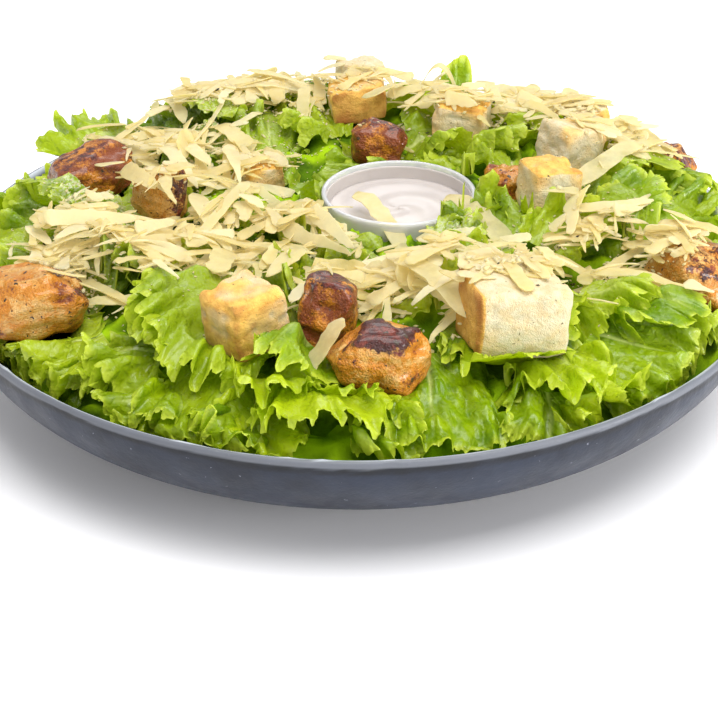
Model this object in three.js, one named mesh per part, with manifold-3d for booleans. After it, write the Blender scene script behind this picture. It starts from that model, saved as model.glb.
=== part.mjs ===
// Caesar salad: a heap of frilled lettuce with grilled chicken, croutons and shaved cheese,
// served in a wide stoneware bowl round a glass pot of dressing.
// Units are millimetres, +Z is up, and the origin is the middle of the bowl's foot.

import * as THREE from 'three';
import { mergeVertices } from 'three/addons/utils/BufferGeometryUtils.js';
import Module from 'manifold-3d';

const wasm = await Module();
wasm.setup();

// Bowl
const RIM_RADIUS = 135;
const RIM_HEIGHT = 45;
const FOOT_RADIUS = 62;
const FOOT_WIDTH = 8;
const FOOT_HEIGHT = 2;
const BOWL_WALL = 3.4;
const LIP_RADIUS = 1.1;
const WALL_CURVE = 1.9;
const BOWL_SIDES = 44;
const WALL_STEPS = 5;

// Pot of dressing, placed by its rim
const POT_X = 14;
const POT_Y = 9;
const POT_RIM_HEIGHT = RIM_HEIGHT + 17;
const POT_RADIUS = 26;
const POT_DEPTH = 29;
const POT_FOOT = 13;
const POT_WALL = 1.6;
const POT_CURVE = 1.3;
const POT_RIM_ROUND = 0.5;
const POT_SIDES = 24;
const POT_STEPS = 5;
const DRESSING_DROP = 6;

// Heap, as heights above the bowl's rim
const HEAP_CROWN = 14.5;
const HEAP_EDGE = -1;
const HEAP_FLAT_RADIUS = 82;
const HEAP_EDGE_RADIUS = 131;
const HEAP_SHIFT = 6;
const HEAP_REAR_RISE = 0.06;
const CORE_CROWN_DROP = 1.5;
const CORE_EDGE_DROP = 7;
const CORE_SIDES = 26;
const CORE_RINGS = 6;
const CORE_BUMP = 1.2;

// Lettuce leaves
const LEAF_THICKNESS = 0.9;
const LEAF_FAN = THREE.MathUtils.degToRad(220);
const LEAF_COLUMNS = 8;
const LEAF_RINGS = 2;
const LEAF_CLEARANCE = 1.2;
const LEAF_CROWD = 7;

// Cheese shavings
const SHAVING_COUNT = 24;
const SHAVING_RING = [42, 92];
const SHAVING_THICKNESS = 1;
const SHAVING_STEPS = 3;

const GAP = 0.4;
const COVER_CLEARANCE = 7;
const WELD = 1e-3;

const INNER_RADIUS = RIM_RADIUS - BOWL_WALL;
const INNER_FLOOR = FOOT_HEIGHT + BOWL_WALL;

const COLOURS = {
  stoneware: { color: '#4d5465', roughness: 0.5, metalness: 0 },
  lettuce: { color: '#8fbf2a', roughness: 0.45, metalness: 0 },
  crouton: { color: '#e3cf9c', roughness: 0.85, metalness: 0 },
  chicken: { color: '#b8773a', roughness: 0.5, metalness: 0 },
  glass: { color: '#e6e8ea', roughness: 0.08, metalness: 0 },
  dressing: { color: '#efeae2', roughness: 0.3, metalness: 0 },
};

// Large pieces: middle (height above the rim), size, turn about Z and tip about their own Y.
const CROUTONS = [
  { at: [46, -84, 21.5], size: [29, 25, 22], turn: 14, tip: 3 },
  { at: [-33, -84, 19], size: [20, 19, 20], turn: 40, tip: -8 },
  { at: [73, 33, 23], size: [18, 17, 17], turn: 35, tip: 14 },
  { at: [64, 5, 21], size: [18, 17, 16], turn: 20, tip: 4 },
  { at: [0, 75, 24], size: [20.5, 16, 12.5], turn: 8, tip: -6 },
  { at: [1, 100, 22.5], size: [16, 14, 13], turn: 25, tip: 5 },
  { at: [37, 59, 23], size: [19, 17, 13], turn: -12, tip: 6 },
  { at: [79, 75, 16], size: [22, 18, 12], turn: 10, tip: -4 },
  { at: [-34, 30, 13], size: [15, 14, 12], turn: 30, tip: 8 },
];
const CHICKEN = [
  { at: [-93, 30, 14.5], size: [31, 22, 16], turn: 20, tip: -12 },
  { at: [-65.5, 0, 20], size: [15.5, 15, 21], turn: -30, tip: 6 },
  { at: [-101, -60, 12], size: [33, 25, 19], turn: 12, tip: -4 },
  { at: [-9, -78, 17.5], size: [17, 18, 20], turn: -12, tip: 10 },
  { at: [6, -101, 16], size: [27, 19, 18], turn: 6, tip: 8 },
  { at: [7.5, 49, 18], size: [19, 15, 15], turn: -8, tip: 6 },
  { at: [50, 19, 15.5], size: [12, 13, 14], turn: 24, tip: 10 },
  { at: [111, 44, 11], size: [17, 16, 12], turn: -24, tip: 10 },
  { at: [106, -40, 11.5], size: [28, 28, 18], turn: -16, tip: 10 },
];

// Rows of leaves: how many, base radius, lift off the heap, length, tip angle and heading spread.
const LEAF_ROWS = [
  { count: 12, radius: 97, lift: -1, length: 42, pitch: -3, spread: 18 },
  { count: 8, radius: 79, lift: 0, length: 38, pitch: 8, spread: 22 },
];

// Leaves that stand out on their own: base, heading, tip angle and length.
const SHOW_LEAVES = [
  { at: [-84, 70, 8], heading: 138, pitch: -4, length: 42, over: true },
  { at: [34, 90, 14], heading: 80, pitch: 44, length: 32, over: false },
  { at: [-24, 92, 13], heading: 105, pitch: 36, length: 28, over: false },
  { at: [76, -6, 12], heading: 5, pitch: 2, length: 44, over: false },
  { at: [10, -96, 5], heading: -86, pitch: -4, length: 36, over: false },
  { at: [-31, 46, 13], heading: 95, pitch: 32, length: 34, over: false },
  { at: [31, -24, 12], heading: 70, pitch: 42, length: 17, over: false },
  { at: [56, -16, 12], heading: 95, pitch: 26, length: 24, over: false },
];

// The two shavings that lie over the pot's rim.
const RIM_SHAVINGS = [
  { at: [12, -14, 18.4], heading: -68, length: 43, width: 5.5, curl: -5.5, tilt: 5 },
  { at: [38, -11, 18.4], heading: -60, length: 42, width: 7, curl: -5.5, tilt: 5 },
];

/** A repeatable source of numbers from 0 to 1. */
function seededDraws(seed) {
  let state = seed;
  return () => {
    state = (state * 48271) % 2147483647;
    return state / 2147483647;
  };
}

/** Radius of the bowl's inside at a height. */
function wallRadius(height) {
  const drop = THREE.MathUtils.clamp((RIM_HEIGHT - height) / (RIM_HEIGHT - INNER_FLOOR), 0, 1);
  return FOOT_RADIUS + (INNER_RADIUS - FOOT_RADIUS) * (1 - drop ** WALL_CURVE) ** (1 / WALL_CURVE);
}

/** Points down (or up) a curved wall, evenly spaced in angle. */
function wallPoints(rim, foot, floor, top) {
  const points = [];
  for (let step = 0; step <= WALL_STEPS; step += 1) {
    const angle = (step / WALL_STEPS) * (Math.PI / 2);
    const radius = foot + (rim - foot) * Math.cos(angle) ** (2 / WALL_CURVE);
    const height = top - (top - floor) * Math.sin(angle) ** (2 / WALL_CURVE);
    points.push(new THREE.Vector2(radius, height));
  }
  return points;
}

/** Turns a profile of radius and height about the Z axis. */
function turned(points, sides) {
  return new THREE.LatheGeometry(points, sides).rotateX(Math.PI / 2);
}

/** The triangles of a geometry with shared corners, leaving out any that have closed up. */
function sharedTriangles(geometry) {
  const bare = new THREE.BufferGeometry();
  bare.setAttribute('position', geometry.getAttribute('position'));
  bare.setIndex(geometry.getIndex());
  const merged = mergeVertices(bare, WELD);
  const index = merged.getIndex();
  const triangles = [];
  for (let i = 0; i < index.count; i += 3) {
    const corners = [index.getX(i), index.getX(i + 1), index.getX(i + 2)];
    if (new Set(corners).size === 3) {
      triangles.push(corners);
    }
  }
  return { positions: Array.from(merged.getAttribute('position').array), triangles };
}

/** A solid from any closed geometry. */
function solidOf(geometry) {
  const { positions, triangles } = sharedTriangles(geometry);
  return new wasm.Manifold(new wasm.Mesh({
    numProp: 3,
    vertProperties: new Float32Array(positions),
    triVerts: new Uint32Array(triangles.flat()),
  }));
}

/** A thin solid sheet, whose pointAt gives a point from 0 to 1 across and along, at a depth. */
function makeSheet(columns, rows, thickness, pointAt) {
  const grid = new THREE.PlaneGeometry(1, 1, columns, rows);
  const flat = grid.getAttribute('position');
  const index = grid.getIndex();
  const positions = [0, thickness].flatMap((depth) => Array.from({ length: flat.count }, (_, i) => (
    pointAt(flat.getX(i) + 0.5, 0.5 - flat.getY(i), depth).toArray()))).flat();
  const triangles = [];
  const rims = new Map();
  for (let i = 0; i < index.count; i += 3) {
    const corners = [index.getX(i), index.getX(i + 1), index.getX(i + 2)];
    const under = corners.map((corner) => corner + flat.count).reverse();
    triangles.push(corners, under);
    corners.forEach((from, k) => {
      const to = corners[(k + 1) % 3];
      if (!rims.delete(`${to},${from}`)) {
        rims.set(`${from},${to}`, [from, to]);
      }
    });
  }
  for (const [from, to] of rims.values()) {
    triangles.push([to, from, from + flat.count]);
    triangles.push([to, from + flat.count, to + flat.count]);
  }
  const sheet = new THREE.BufferGeometry();
  sheet.setAttribute('position', new THREE.Float32BufferAttribute(positions, 3));
  sheet.setIndex(triangles.flat());
  return solidOf(sheet);
}

/** The geometry of a solid. */
function geometryOf(solid) {
  const mesh = solid.getMesh();
  const geometry = new THREE.BufferGeometry();
  geometry.setAttribute('position', new THREE.BufferAttribute(mesh.vertProperties, 3));
  geometry.setIndex(new THREE.BufferAttribute(mesh.triVerts, 1));
  return geometry;
}

/** The outer skin of the largest body: loose scraps are dropped and sealed hollows filled. */
function largestBody(solid) {
  const skins = solidOf(geometryOf(solid)).decompose();
  return skins.reduce((best, skin) => (skin.volume() > best.volume() ? skin : best));
}

/** Height of the finished heap over a point. */
function heapHeight(x, y) {
  const radius = Math.hypot(x, y - HEAP_SHIFT);
  const out = THREE.MathUtils.clamp(
    (radius - HEAP_FLAT_RADIUS) / (HEAP_EDGE_RADIUS - HEAP_FLAT_RADIUS), 0, 1);
  const fall = out ** 1.4;
  const crown = HEAP_CROWN + HEAP_REAR_RISE * Math.max(y, 0);
  return RIM_HEIGHT + THREE.MathUtils.lerp(crown, HEAP_EDGE, fall);
}

/** Bowl with a round lip and a low ring foot. */
function makeBowl() {
  const lip = [];
  for (let step = 1; step <= 3; step += 1) {
    const angle = (step / 4) * Math.PI;
    lip.push(new THREE.Vector2(
      RIM_RADIUS - LIP_RADIUS + LIP_RADIUS * Math.cos(angle),
      RIM_HEIGHT - LIP_RADIUS + LIP_RADIUS * Math.sin(angle)));
  }
  const top = RIM_HEIGHT - LIP_RADIUS;
  const outside = wallPoints(RIM_RADIUS, FOOT_RADIUS, FOOT_HEIGHT, top).reverse();
  const inside = wallPoints(INNER_RADIUS, FOOT_RADIUS, INNER_FLOOR, top - LIP_RADIUS);
  return solidOf(turned([
    new THREE.Vector2(0, FOOT_HEIGHT),
    new THREE.Vector2(FOOT_RADIUS - FOOT_WIDTH, FOOT_HEIGHT),
    new THREE.Vector2(FOOT_RADIUS - FOOT_WIDTH, 0),
    new THREE.Vector2(FOOT_RADIUS, 0),
    ...outside,
    ...lip,
    ...inside,
    new THREE.Vector2(0, INNER_FLOOR),
  ], BOWL_SIDES));
}

/** Space that the lettuce keeps out of: the bowl, grown by the gap. */
function bowlKeepOut() {
  const top = RIM_HEIGHT + GAP;
  const inside = wallPoints(INNER_RADIUS - GAP, FOOT_RADIUS - GAP, INNER_FLOOR + GAP, top);
  return solidOf(turned([
    new THREE.Vector2(0, -1),
    new THREE.Vector2(RIM_RADIUS + GAP, -1),
    new THREE.Vector2(RIM_RADIUS + GAP, top),
    ...inside,
    new THREE.Vector2(0, INNER_FLOOR + GAP),
  ], BOWL_SIDES));
}

/** Rounded side of the pot from its foot up to a drop below its rim, grown by an amount. */
function potSide(grow, drop = 0) {
  const last = Math.acos((drop / POT_DEPTH) ** (1 / POT_CURVE));
  const points = [];
  for (let step = 0; step <= POT_STEPS; step += 1) {
    const angle = (step / POT_STEPS) * last;
    points.push(new THREE.Vector2(
      POT_FOOT + (POT_RADIUS - POT_FOOT) * Math.sin(angle) + grow,
      POT_RIM_HEIGHT - POT_DEPTH * Math.cos(angle) ** POT_CURVE - grow * Math.cos(angle)));
  }
  return points;
}

/** A profile closed onto the axis at both ends, turned about the pot's own axis. */
function turnedPot(points) {
  const closed = [
    new THREE.Vector2(0, points[0].y),
    ...points,
    new THREE.Vector2(0, points[points.length - 1].y),
  ];
  return solidOf(turned(closed, POT_SIDES).translate(POT_X, POT_Y, 0));
}

/** Open glass pot with a rounded rim. */
function makePot() {
  const rim = new THREE.Vector2(POT_RADIUS - POT_WALL / 2, POT_RIM_HEIGHT + POT_RIM_ROUND);
  return turnedPot([...potSide(0), rim, ...potSide(-POT_WALL).reverse()]);
}

/** Side of the dressing, up to its level. */
function dressingSide() {
  return potSide(-POT_WALL - GAP, DRESSING_DROP);
}

/** Dressing that fills the pot to below its rim. */
function makeDressing() {
  return turnedPot(dressingSide());
}

/** Space that the heap keeps out of: the pot and its dressing, grown by the gap. */
function potKeepOut() {
  const top = POT_RIM_HEIGHT + POT_RIM_ROUND + GAP;
  const inner = POT_RADIUS - POT_WALL - GAP;
  return turnedPot([
    ...potSide(GAP),
    new THREE.Vector2(POT_RADIUS + GAP, top),
    new THREE.Vector2(inner, top),
    new THREE.Vector2(inner, dressingSide().at(-1).y + GAP),
  ]);
}

/** An uneven block with rounded corners, such as a cube of bread or a chunk of meat. */
function makeChunk({ at, size, turn, tip }, { seed, rounding, wobble }, grow) {
  const draw = seededDraws(seed);
  const phases = [draw(), draw(), draw(), draw(), draw()].map((value) => value * 2 * Math.PI);
  const block = new THREE.BoxGeometry(2, 2, 2, 2, 2, 2);
  const corners = block.getAttribute('position');
  const point = new THREE.Vector3();
  for (let i = 0; i < corners.count; i += 1) {
    point.fromBufferAttribute(corners, i);
    const { x, y, z } = point;
    const ball = new THREE.Vector3(
      x * Math.sqrt(1 - (y * y) / 2 - (z * z) / 2 + (y * y * z * z) / 3),
      y * Math.sqrt(1 - (z * z) / 2 - (x * x) / 2 + (z * z * x * x) / 3),
      z * Math.sqrt(1 - (x * x) / 2 - (y * y) / 2 + (x * x * y * y) / 3));
    point.lerp(ball.multiplyScalar(1.1), rounding);
    const swell = 1 + wobble * Math.sin(2.1 * x + phases[0]) * Math.sin(1.7 * y + phases[1]);
    point.x *= swell + wobble * Math.sin(2.6 * z + phases[2]);
    point.y *= swell + wobble * Math.sin(2.2 * x + phases[3]);
    point.z *= swell + wobble * Math.sin(2.4 * y + phases[4]);
    corners.setXYZ(i, point.x * (size[0] / 2 + grow), point.y * (size[1] / 2 + grow),
      point.z * (size[2] / 2 + grow));
  }
  const place = new THREE.Matrix4().makeTranslation(at[0], at[1], RIM_HEIGHT + at[2]);
  place.multiply(new THREE.Matrix4().makeRotationZ(THREE.MathUtils.degToRad(turn)));
  place.multiply(new THREE.Matrix4().makeRotationY(THREE.MathUtils.degToRad(tip)));
  return solidOf(block.applyMatrix4(place));
}

function makeCrouton(place, number, grow = 0) {
  return makeChunk(place, { seed: 101 + number, rounding: 0.25, wobble: 0.035 }, grow);
}

function makeChicken(place, number, grow = 0) {
  return makeChunk(place, { seed: 201 + number, rounding: 0.55, wobble: 0.08 }, grow);
}

/** Inner mass of the heap, which follows the bowl below and the heap above. */
function makeCore() {
  const floor = INNER_FLOOR + 2 * GAP;
  const edge = RIM_HEIGHT + HEAP_EDGE - 2;
  const under = wallPoints(INNER_RADIUS - GAP - 1, FOOT_RADIUS - GAP, floor, RIM_HEIGHT)
    .filter((point) => point.y < edge)
    .reverse();
  const over = [];
  for (let ring = CORE_RINGS; ring >= 0; ring -= 1) {
    over.push(new THREE.Vector2((HEAP_EDGE_RADIUS - 4) * (ring / CORE_RINGS), edge));
  }
  const lathe = turned([new THREE.Vector2(0, floor), ...under, ...over], CORE_SIDES);
  const corners = lathe.getAttribute('position');
  for (let i = 0; i < corners.count; i += 1) {
    if (corners.getZ(i) >= edge) {
      const x = corners.getX(i);
      const y = corners.getY(i);
      const bump = CORE_BUMP * Math.sin(x * 0.11 + 1) * Math.sin(y * 0.13 + 2);
      const out = Math.hypot(x, y) / HEAP_EDGE_RADIUS;
      const drop = THREE.MathUtils.lerp(CORE_CROWN_DROP, CORE_EDGE_DROP, out ** 3);
      corners.setZ(i, heapHeight(x, y) - drop + bump);
    }
  }
  return solidOf(lathe);
}

/** Draws the leaves of every row, then adds the leaves that stand out. */
function drawLeaves() {
  const draw = seededDraws(4766);
  const spread = (amount) => amount * (2 * draw() - 1);
  const phase = () => 2 * Math.PI * draw();
  const leaves = [];
  LEAF_ROWS.forEach((row, rowNumber) => {
    for (let i = 0; i < row.count; i += 1) {
      const turn = ((i + rowNumber / 2 + spread(0.3)) / row.count) * 360;
      const angle = THREE.MathUtils.degToRad(turn);
      const radius = row.radius + spread(4);
      const x = radius * Math.cos(angle);
      const y = radius * Math.sin(angle);
      leaves.push({
        at: [x, y, heapHeight(x, y) - RIM_HEIGHT + row.lift + spread(1.5)],
        heading: turn + spread(row.spread),
        pitch: row.pitch + spread(9),
        roll: spread(16),
        length: row.length * (1 + spread(0.16)),
        phases: [phase(), phase(), phase()],
        over: false,
      });
    }
  });
  for (const leaf of SHOW_LEAVES) {
    leaves.push({ ...leaf, roll: spread(10), phases: [phase(), phase(), phase()] });
  }
  return leaves;
}

/** A point of a leaf, from its angle across the fan and its way out from the base. */
function leafPoint(leaf, across, out, depth) {
  const angle = (across - 0.5) * LEAF_FAN;
  const [lobes, waves, frills] = leaf.phases;
  const reach = leaf.length * (0.3 + 0.7 * Math.cos(angle / 2) ** 2)
    * (1 + 0.07 * Math.sin(5 * angle + lobes));
  const ruffle = 0.09 * out ** 2 * Math.sin(2.6 * angle + waves)
    + 0.13 * out ** 3 * Math.sin(6.5 * angle + frills);
  const droop = -0.14 * out ** 2 * Math.cos(angle);
  return new THREE.Vector3(
    out * reach * Math.cos(angle),
    out * reach * Math.sin(angle),
    leaf.length * (ruffle + droop) - depth);
}

/** Keeps a point of the heap inside the bowl's wall, crowding it up close to the wall. */
function crowded(point, over) {
  const radius = Math.hypot(point.x, point.y);
  const lowest = point.z - LEAF_THICKNESS;
  const limit = over ? RIM_RADIUS + 12 : wallRadius(lowest) - LEAF_CLEARANCE;
  const start = limit - LEAF_CROWD;
  if (radius > start) {
    const kept = limit - LEAF_CROWD * Math.exp(-(radius - start) / LEAF_CROWD);
    point.x *= kept / radius;
    point.y *= kept / radius;
  }
  return point;
}

/** Where a leaf stands: its base, heading, tip angle and roll. */
function leafFrame(leaf) {
  const [x, y, lift] = leaf.at;
  const frame = new THREE.Matrix4().makeTranslation(x, y, RIM_HEIGHT + lift);
  frame.multiply(new THREE.Matrix4().makeRotationZ(THREE.MathUtils.degToRad(leaf.heading)));
  frame.multiply(new THREE.Matrix4().makeRotationY(THREE.MathUtils.degToRad(-leaf.pitch)));
  return frame.multiply(new THREE.Matrix4().makeRotationX(THREE.MathUtils.degToRad(leaf.roll)));
}

/** A frilled leaf as a thin wavy solid. */
function makeLeaf(leaf) {
  const frame = leafFrame(leaf);
  return makeSheet(LEAF_COLUMNS, LEAF_RINGS, LEAF_THICKNESS, (across, out, depth) => (
    crowded(leafPoint(leaf, across, out, depth).applyMatrix4(frame), leaf.over)));
}

/** A curled shaving of cheese that lies on the heap. */
function makeShaving({ at, heading, length, width, curl, tilt }) {
  const place = new THREE.Matrix4().makeTranslation(...at);
  place.multiply(new THREE.Matrix4().makeRotationZ(THREE.MathUtils.degToRad(heading)));
  place.multiply(new THREE.Matrix4().makeRotationY(THREE.MathUtils.degToRad(tilt)));
  return makeSheet(SHAVING_STEPS, 1, SHAVING_THICKNESS, (across, out, depth) => {
    const along = 2 * across - 1;
    const side = (0.5 - out) * (1 - 0.35 * along);
    return new THREE.Vector3(
      along * length / 2,
      side * width,
      curl * (along * along - 0.3) - depth).applyMatrix4(place);
  });
}

/** Shavings strewn in a ring round the pot, and two that lie across its rim. */
function makeShavings() {
  const draw = seededDraws(977);
  const spread = (amount) => amount * (2 * draw() - 1);
  const shavings = RIM_SHAVINGS.map(({ at: [x, y, lift], ...shape }) => (
    makeShaving({ at: [x, y, RIM_HEIGHT + lift], ...shape })));
  for (let i = 0; i < SHAVING_COUNT; i += 1) {
    const angle = ((i + spread(0.4)) / SHAVING_COUNT) * 2 * Math.PI;
    const radius = SHAVING_RING[0] + (SHAVING_RING[1] - SHAVING_RING[0]) * draw();
    const x = radius * Math.cos(angle) + POT_X / 2;
    const y = radius * Math.sin(angle);
    shavings.push(makeShaving({
      at: [x, y, heapHeight(x, y) + 0.5],
      heading: draw() * 360,
      length: 28 + spread(9),
      width: 5.5 + spread(2.5),
      curl: 1.5 + spread(2),
      tilt: 4 + 10 * draw(),
    }));
  }
  return shavings;
}

/** A large piece grown by the gap, and again just above it, so that nothing covers it. */
function keptOpen(makePiece, place, number) {
  const [x, y, height] = place.at;
  const raised = { ...place, at: [x, y, height + COVER_CLEARANCE] };
  return [makePiece(place, number, GAP), makePiece(raised, number, GAP)];
}

/** The heap as one solid, clear of the bowl, the pot and the large pieces. */
function makeSalad() {
  const pieces = [makeCore(), ...drawLeaves().map(makeLeaf), ...makeShavings()];
  const keepOuts = [
    bowlKeepOut(),
    potKeepOut(),
    ...CROUTONS.flatMap((place, i) => keptOpen(makeCrouton, place, i)),
    ...CHICKEN.flatMap((place, i) => keptOpen(makeChicken, place, i)),
  ];
  const heap = wasm.Manifold.union(pieces).subtract(wasm.Manifold.union(keepOuts));
  return largestBody(heap);
}

/** A named mesh with its material. */
function makeMesh(name, solid, colour) {
  const mesh = new THREE.Mesh(geometryOf(solid), new THREE.MeshStandardMaterial(COLOURS[colour]));
  mesh.name = name;
  return mesh;
}

const salad = new THREE.Group();
salad.add(makeMesh('bowl', makeBowl(), 'stoneware'));
salad.add(makeMesh('pot', makePot(), 'glass'));
salad.add(makeMesh('dressing', makeDressing(), 'dressing'));
CROUTONS.forEach((place, i) => {
  salad.add(makeMesh(`crouton_${i + 1}`, makeCrouton(place, i), 'crouton'));
});
CHICKEN.forEach((place, i) => {
  salad.add(makeMesh(`chicken_${i + 1}`, makeChicken(place, i), 'chicken'));
});
salad.add(makeMesh('salad', makeSalad(), 'lettuce'));

export default salad;
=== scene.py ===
"""Caesar salad: frilled lettuce, grilled chicken, croutons and shaved cheese in a stoneware
bowl, round a glass pot of dressing. Lengths are millimetres until a mesh is made, and metres
in the room round it."""
import math

import bpy
import numpy as np
from mathutils import Matrix, Vector
from mathutils.bvhtree import BVHTree


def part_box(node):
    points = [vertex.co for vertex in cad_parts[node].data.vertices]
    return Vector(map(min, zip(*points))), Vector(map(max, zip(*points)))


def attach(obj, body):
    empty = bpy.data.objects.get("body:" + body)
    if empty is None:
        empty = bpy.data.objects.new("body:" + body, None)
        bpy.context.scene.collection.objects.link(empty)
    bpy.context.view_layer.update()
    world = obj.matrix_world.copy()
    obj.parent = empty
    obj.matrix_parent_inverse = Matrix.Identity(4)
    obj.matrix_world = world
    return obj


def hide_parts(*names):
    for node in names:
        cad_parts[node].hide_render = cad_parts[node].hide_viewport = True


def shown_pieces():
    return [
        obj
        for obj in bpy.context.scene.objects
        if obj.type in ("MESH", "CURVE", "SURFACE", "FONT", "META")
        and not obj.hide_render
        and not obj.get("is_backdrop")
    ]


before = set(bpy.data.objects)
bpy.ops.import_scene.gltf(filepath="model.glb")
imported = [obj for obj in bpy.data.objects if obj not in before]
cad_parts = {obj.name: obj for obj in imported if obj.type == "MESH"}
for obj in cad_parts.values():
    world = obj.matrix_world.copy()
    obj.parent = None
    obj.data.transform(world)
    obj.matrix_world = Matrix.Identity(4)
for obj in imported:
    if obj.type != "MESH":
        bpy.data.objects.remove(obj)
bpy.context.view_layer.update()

MM = 0.001


def box_mm(node):
    """Lowest and highest corner of a node, in millimetres."""
    low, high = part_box(node)
    return np.array(low) / MM, np.array(high) / MM


# Bowl
BOWL_HIGH = box_mm("bowl")[1]
RIM_RADIUS = BOWL_HIGH[0]
RIM_HEIGHT = BOWL_HIGH[2]
FOOT_RADIUS = 62.0
FOOT_WIDTH = 8.0
FOOT_HEIGHT = 2.0
BOWL_WALL = 3.4
OUTSIDE_SHARE = 0.64
LIP_RADIUS = 1.1
WALL_CURVE = 1.9
LIP_WAVE = 0.5
BOWL_SIDES = 260
OUTER_WALL_STEPS = 34
INNER_WALL_STEPS = 20
INNER_RADIUS = RIM_RADIUS - BOWL_WALL
INNER_FLOOR = FOOT_HEIGHT + BOWL_WALL

# Pot of dressing
POT_LOW, POT_HIGH = box_mm("pot")
POT_X, POT_Y = (POT_LOW[:2] + POT_HIGH[:2]) / 2
POT_RADIUS = (POT_HIGH[0] - POT_LOW[0]) / 2
POT_FOOT = 13.0
POT_WALL = 1.6
POT_CURVE = 1.3
POT_RIM_ROUND = 0.5
POT_SIDES = 128
POT_STEPS = 24
POT_RIM_HEIGHT = POT_HIGH[2] - POT_RIM_ROUND
POT_DEPTH = POT_RIM_HEIGHT - POT_LOW[2]
DRESSING_DROP = 6.0
FILM_DROP = 1.2
FILL_INTO_GLASS = 0.15
FILM_THICKNESS = 0.25
FILM_MARGIN = 0.1
FILM_STEPS = 60
FILL_STEPS = 22
SURFACE_RINGS = 30
SURFACE_INSET = 0.3
SURFACE_LIFT = 0.2
SWIRL_HEIGHT = 0.35

# Heap, as heights above the bowl's rim
HEAP_CROWN = 14.5
HEAP_EDGE = -1.0
HEAP_FLAT_RADIUS = 82.0
HEAP_EDGE_RADIUS = 131.0
CORE_RADIUS = HEAP_EDGE_RADIUS - 3
CORE_RINGS = 84
CORE_SIDES = 190
CORE_WALL_GAP = 1.5
CORE_FLOOR_GAP = 0.8
CORE_WALL_TOP = -5.0
CORE_WALL_STEPS = 16
CORE_DROP = 4.0
CORE_EDGE_DROP = 7.0
CORE_WIDE_FOLD = 7.0
CORE_NARROW_FOLD = 4.0
HEAP_SHIFT = 6.0
HEAP_REAR_RISE = 0.06
HEAP_FALL = 1.4

# Large pieces: middle (height above the rim), size, turn about Z and tip about their own Y
CROUTONS = [
    dict(at=(46, -84, 21.5), size=(29, 25, 22), turn=14, tip=3, toast=0.0, toast_to=(-1, 0, 0.1),
         crust=0.95),
    dict(at=(-33, -84, 19), size=(20, 19, 20), turn=40, tip=-8, toast=0.42, toast_to=(-1, -1, 1)),
    dict(at=(73, 33, 23), size=(18, 17, 17), turn=35, tip=14, toast=0.22, toast_to=(1, 0, 0.7)),
    dict(at=(64, 5, 21), size=(18, 17, 16), turn=20, tip=4, toast=0.27, toast_to=(0, 0, 1)),
    dict(at=(0, 75, 24), size=(20.5, 16, 12.5), turn=8, tip=-6, toast=0.55, toast_to=(0, -1, 0)),
    dict(at=(1, 100, 22.5), size=(16, 14, 13), turn=25, tip=5, toast=0.1, toast_to=(1, 0, 0)),
    dict(at=(37, 59, 23), size=(19, 17, 13), turn=-12, tip=6, toast=0.24, toast_to=(0, 0, 1)),
    dict(at=(79, 75, 16), size=(22, 18, 12), turn=10, tip=-4, toast=0.1, toast_to=(1, -1, 0)),
    dict(at=(-34, 30, 13), size=(15, 14, 12), turn=30, tip=8, toast=0.5, toast_to=(0, 0, 1)),
]
CHICKEN = [
    dict(at=(-93, 30, 14.5), size=(31, 22, 16), turn=20, tip=-12, brown=1.0, char=0.5,
         char_to=(-0.4, 0.2, 1)),
    dict(at=(-65.5, 0, 20), size=(15.5, 15, 21), turn=-30, tip=6, brown=0.12, char=0.7,
         char_to=(1, -0.2, 0.4)),
    dict(at=(-101, -60, 12), size=(33, 25, 19), turn=12, tip=-4, brown=0.42, char=0.85,
         char_to=(1, 0.3, 0.5)),
    dict(at=(-9, -78, 17.5), size=(17, 18, 20), turn=-12, tip=10, brown=0.95, char=0.85,
         char_to=(-0.2, 0.2, 1)),
    dict(at=(6, -101, 16), size=(27, 19, 18), turn=6, tip=8, brown=0.5, char=1.0,
         char_to=(-0.1, -0.55, 0.9)),
    dict(at=(7.5, 49, 18), size=(19, 15, 15), turn=-8, tip=6, brown=1.05, char=0.6,
         char_to=(0, 0.2, 1)),
    dict(at=(50, 19, 15.5), size=(12, 13, 14), turn=24, tip=10, brown=0.55, char=0.3,
         char_to=(0, -1, 0.6)),
    dict(at=(111, 44, 11), size=(17, 16, 12), turn=-24, tip=10, brown=0.75, char=0.6,
         char_to=(0, 0, 1)),
    dict(at=(106, -40, 11.5), size=(28, 28, 18), turn=-16, tip=10, brown=0.35, char=0.5,
         char_to=(0.2, -0.3, 1)),
]
CROUTON_STEPS = 22
CHICKEN_STEPS = 23
KNIFE_CUTS = 6
USUAL_CRUST = 0.45
# Gaps that leaves keep from the pot
POT_SIDE_GAP = 0.7
POT_UNDER_GAP = 1.0
# Gaps kept from the large pieces, and how leaves rise beside them
CHUNK_GAP = 0.8
CHUNK_UNDER_GAP = 0.6
WAIST_SHARE = 0.9
SLOPE_START = 1.12
SLOPE_BESIDE = 17.0

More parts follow.
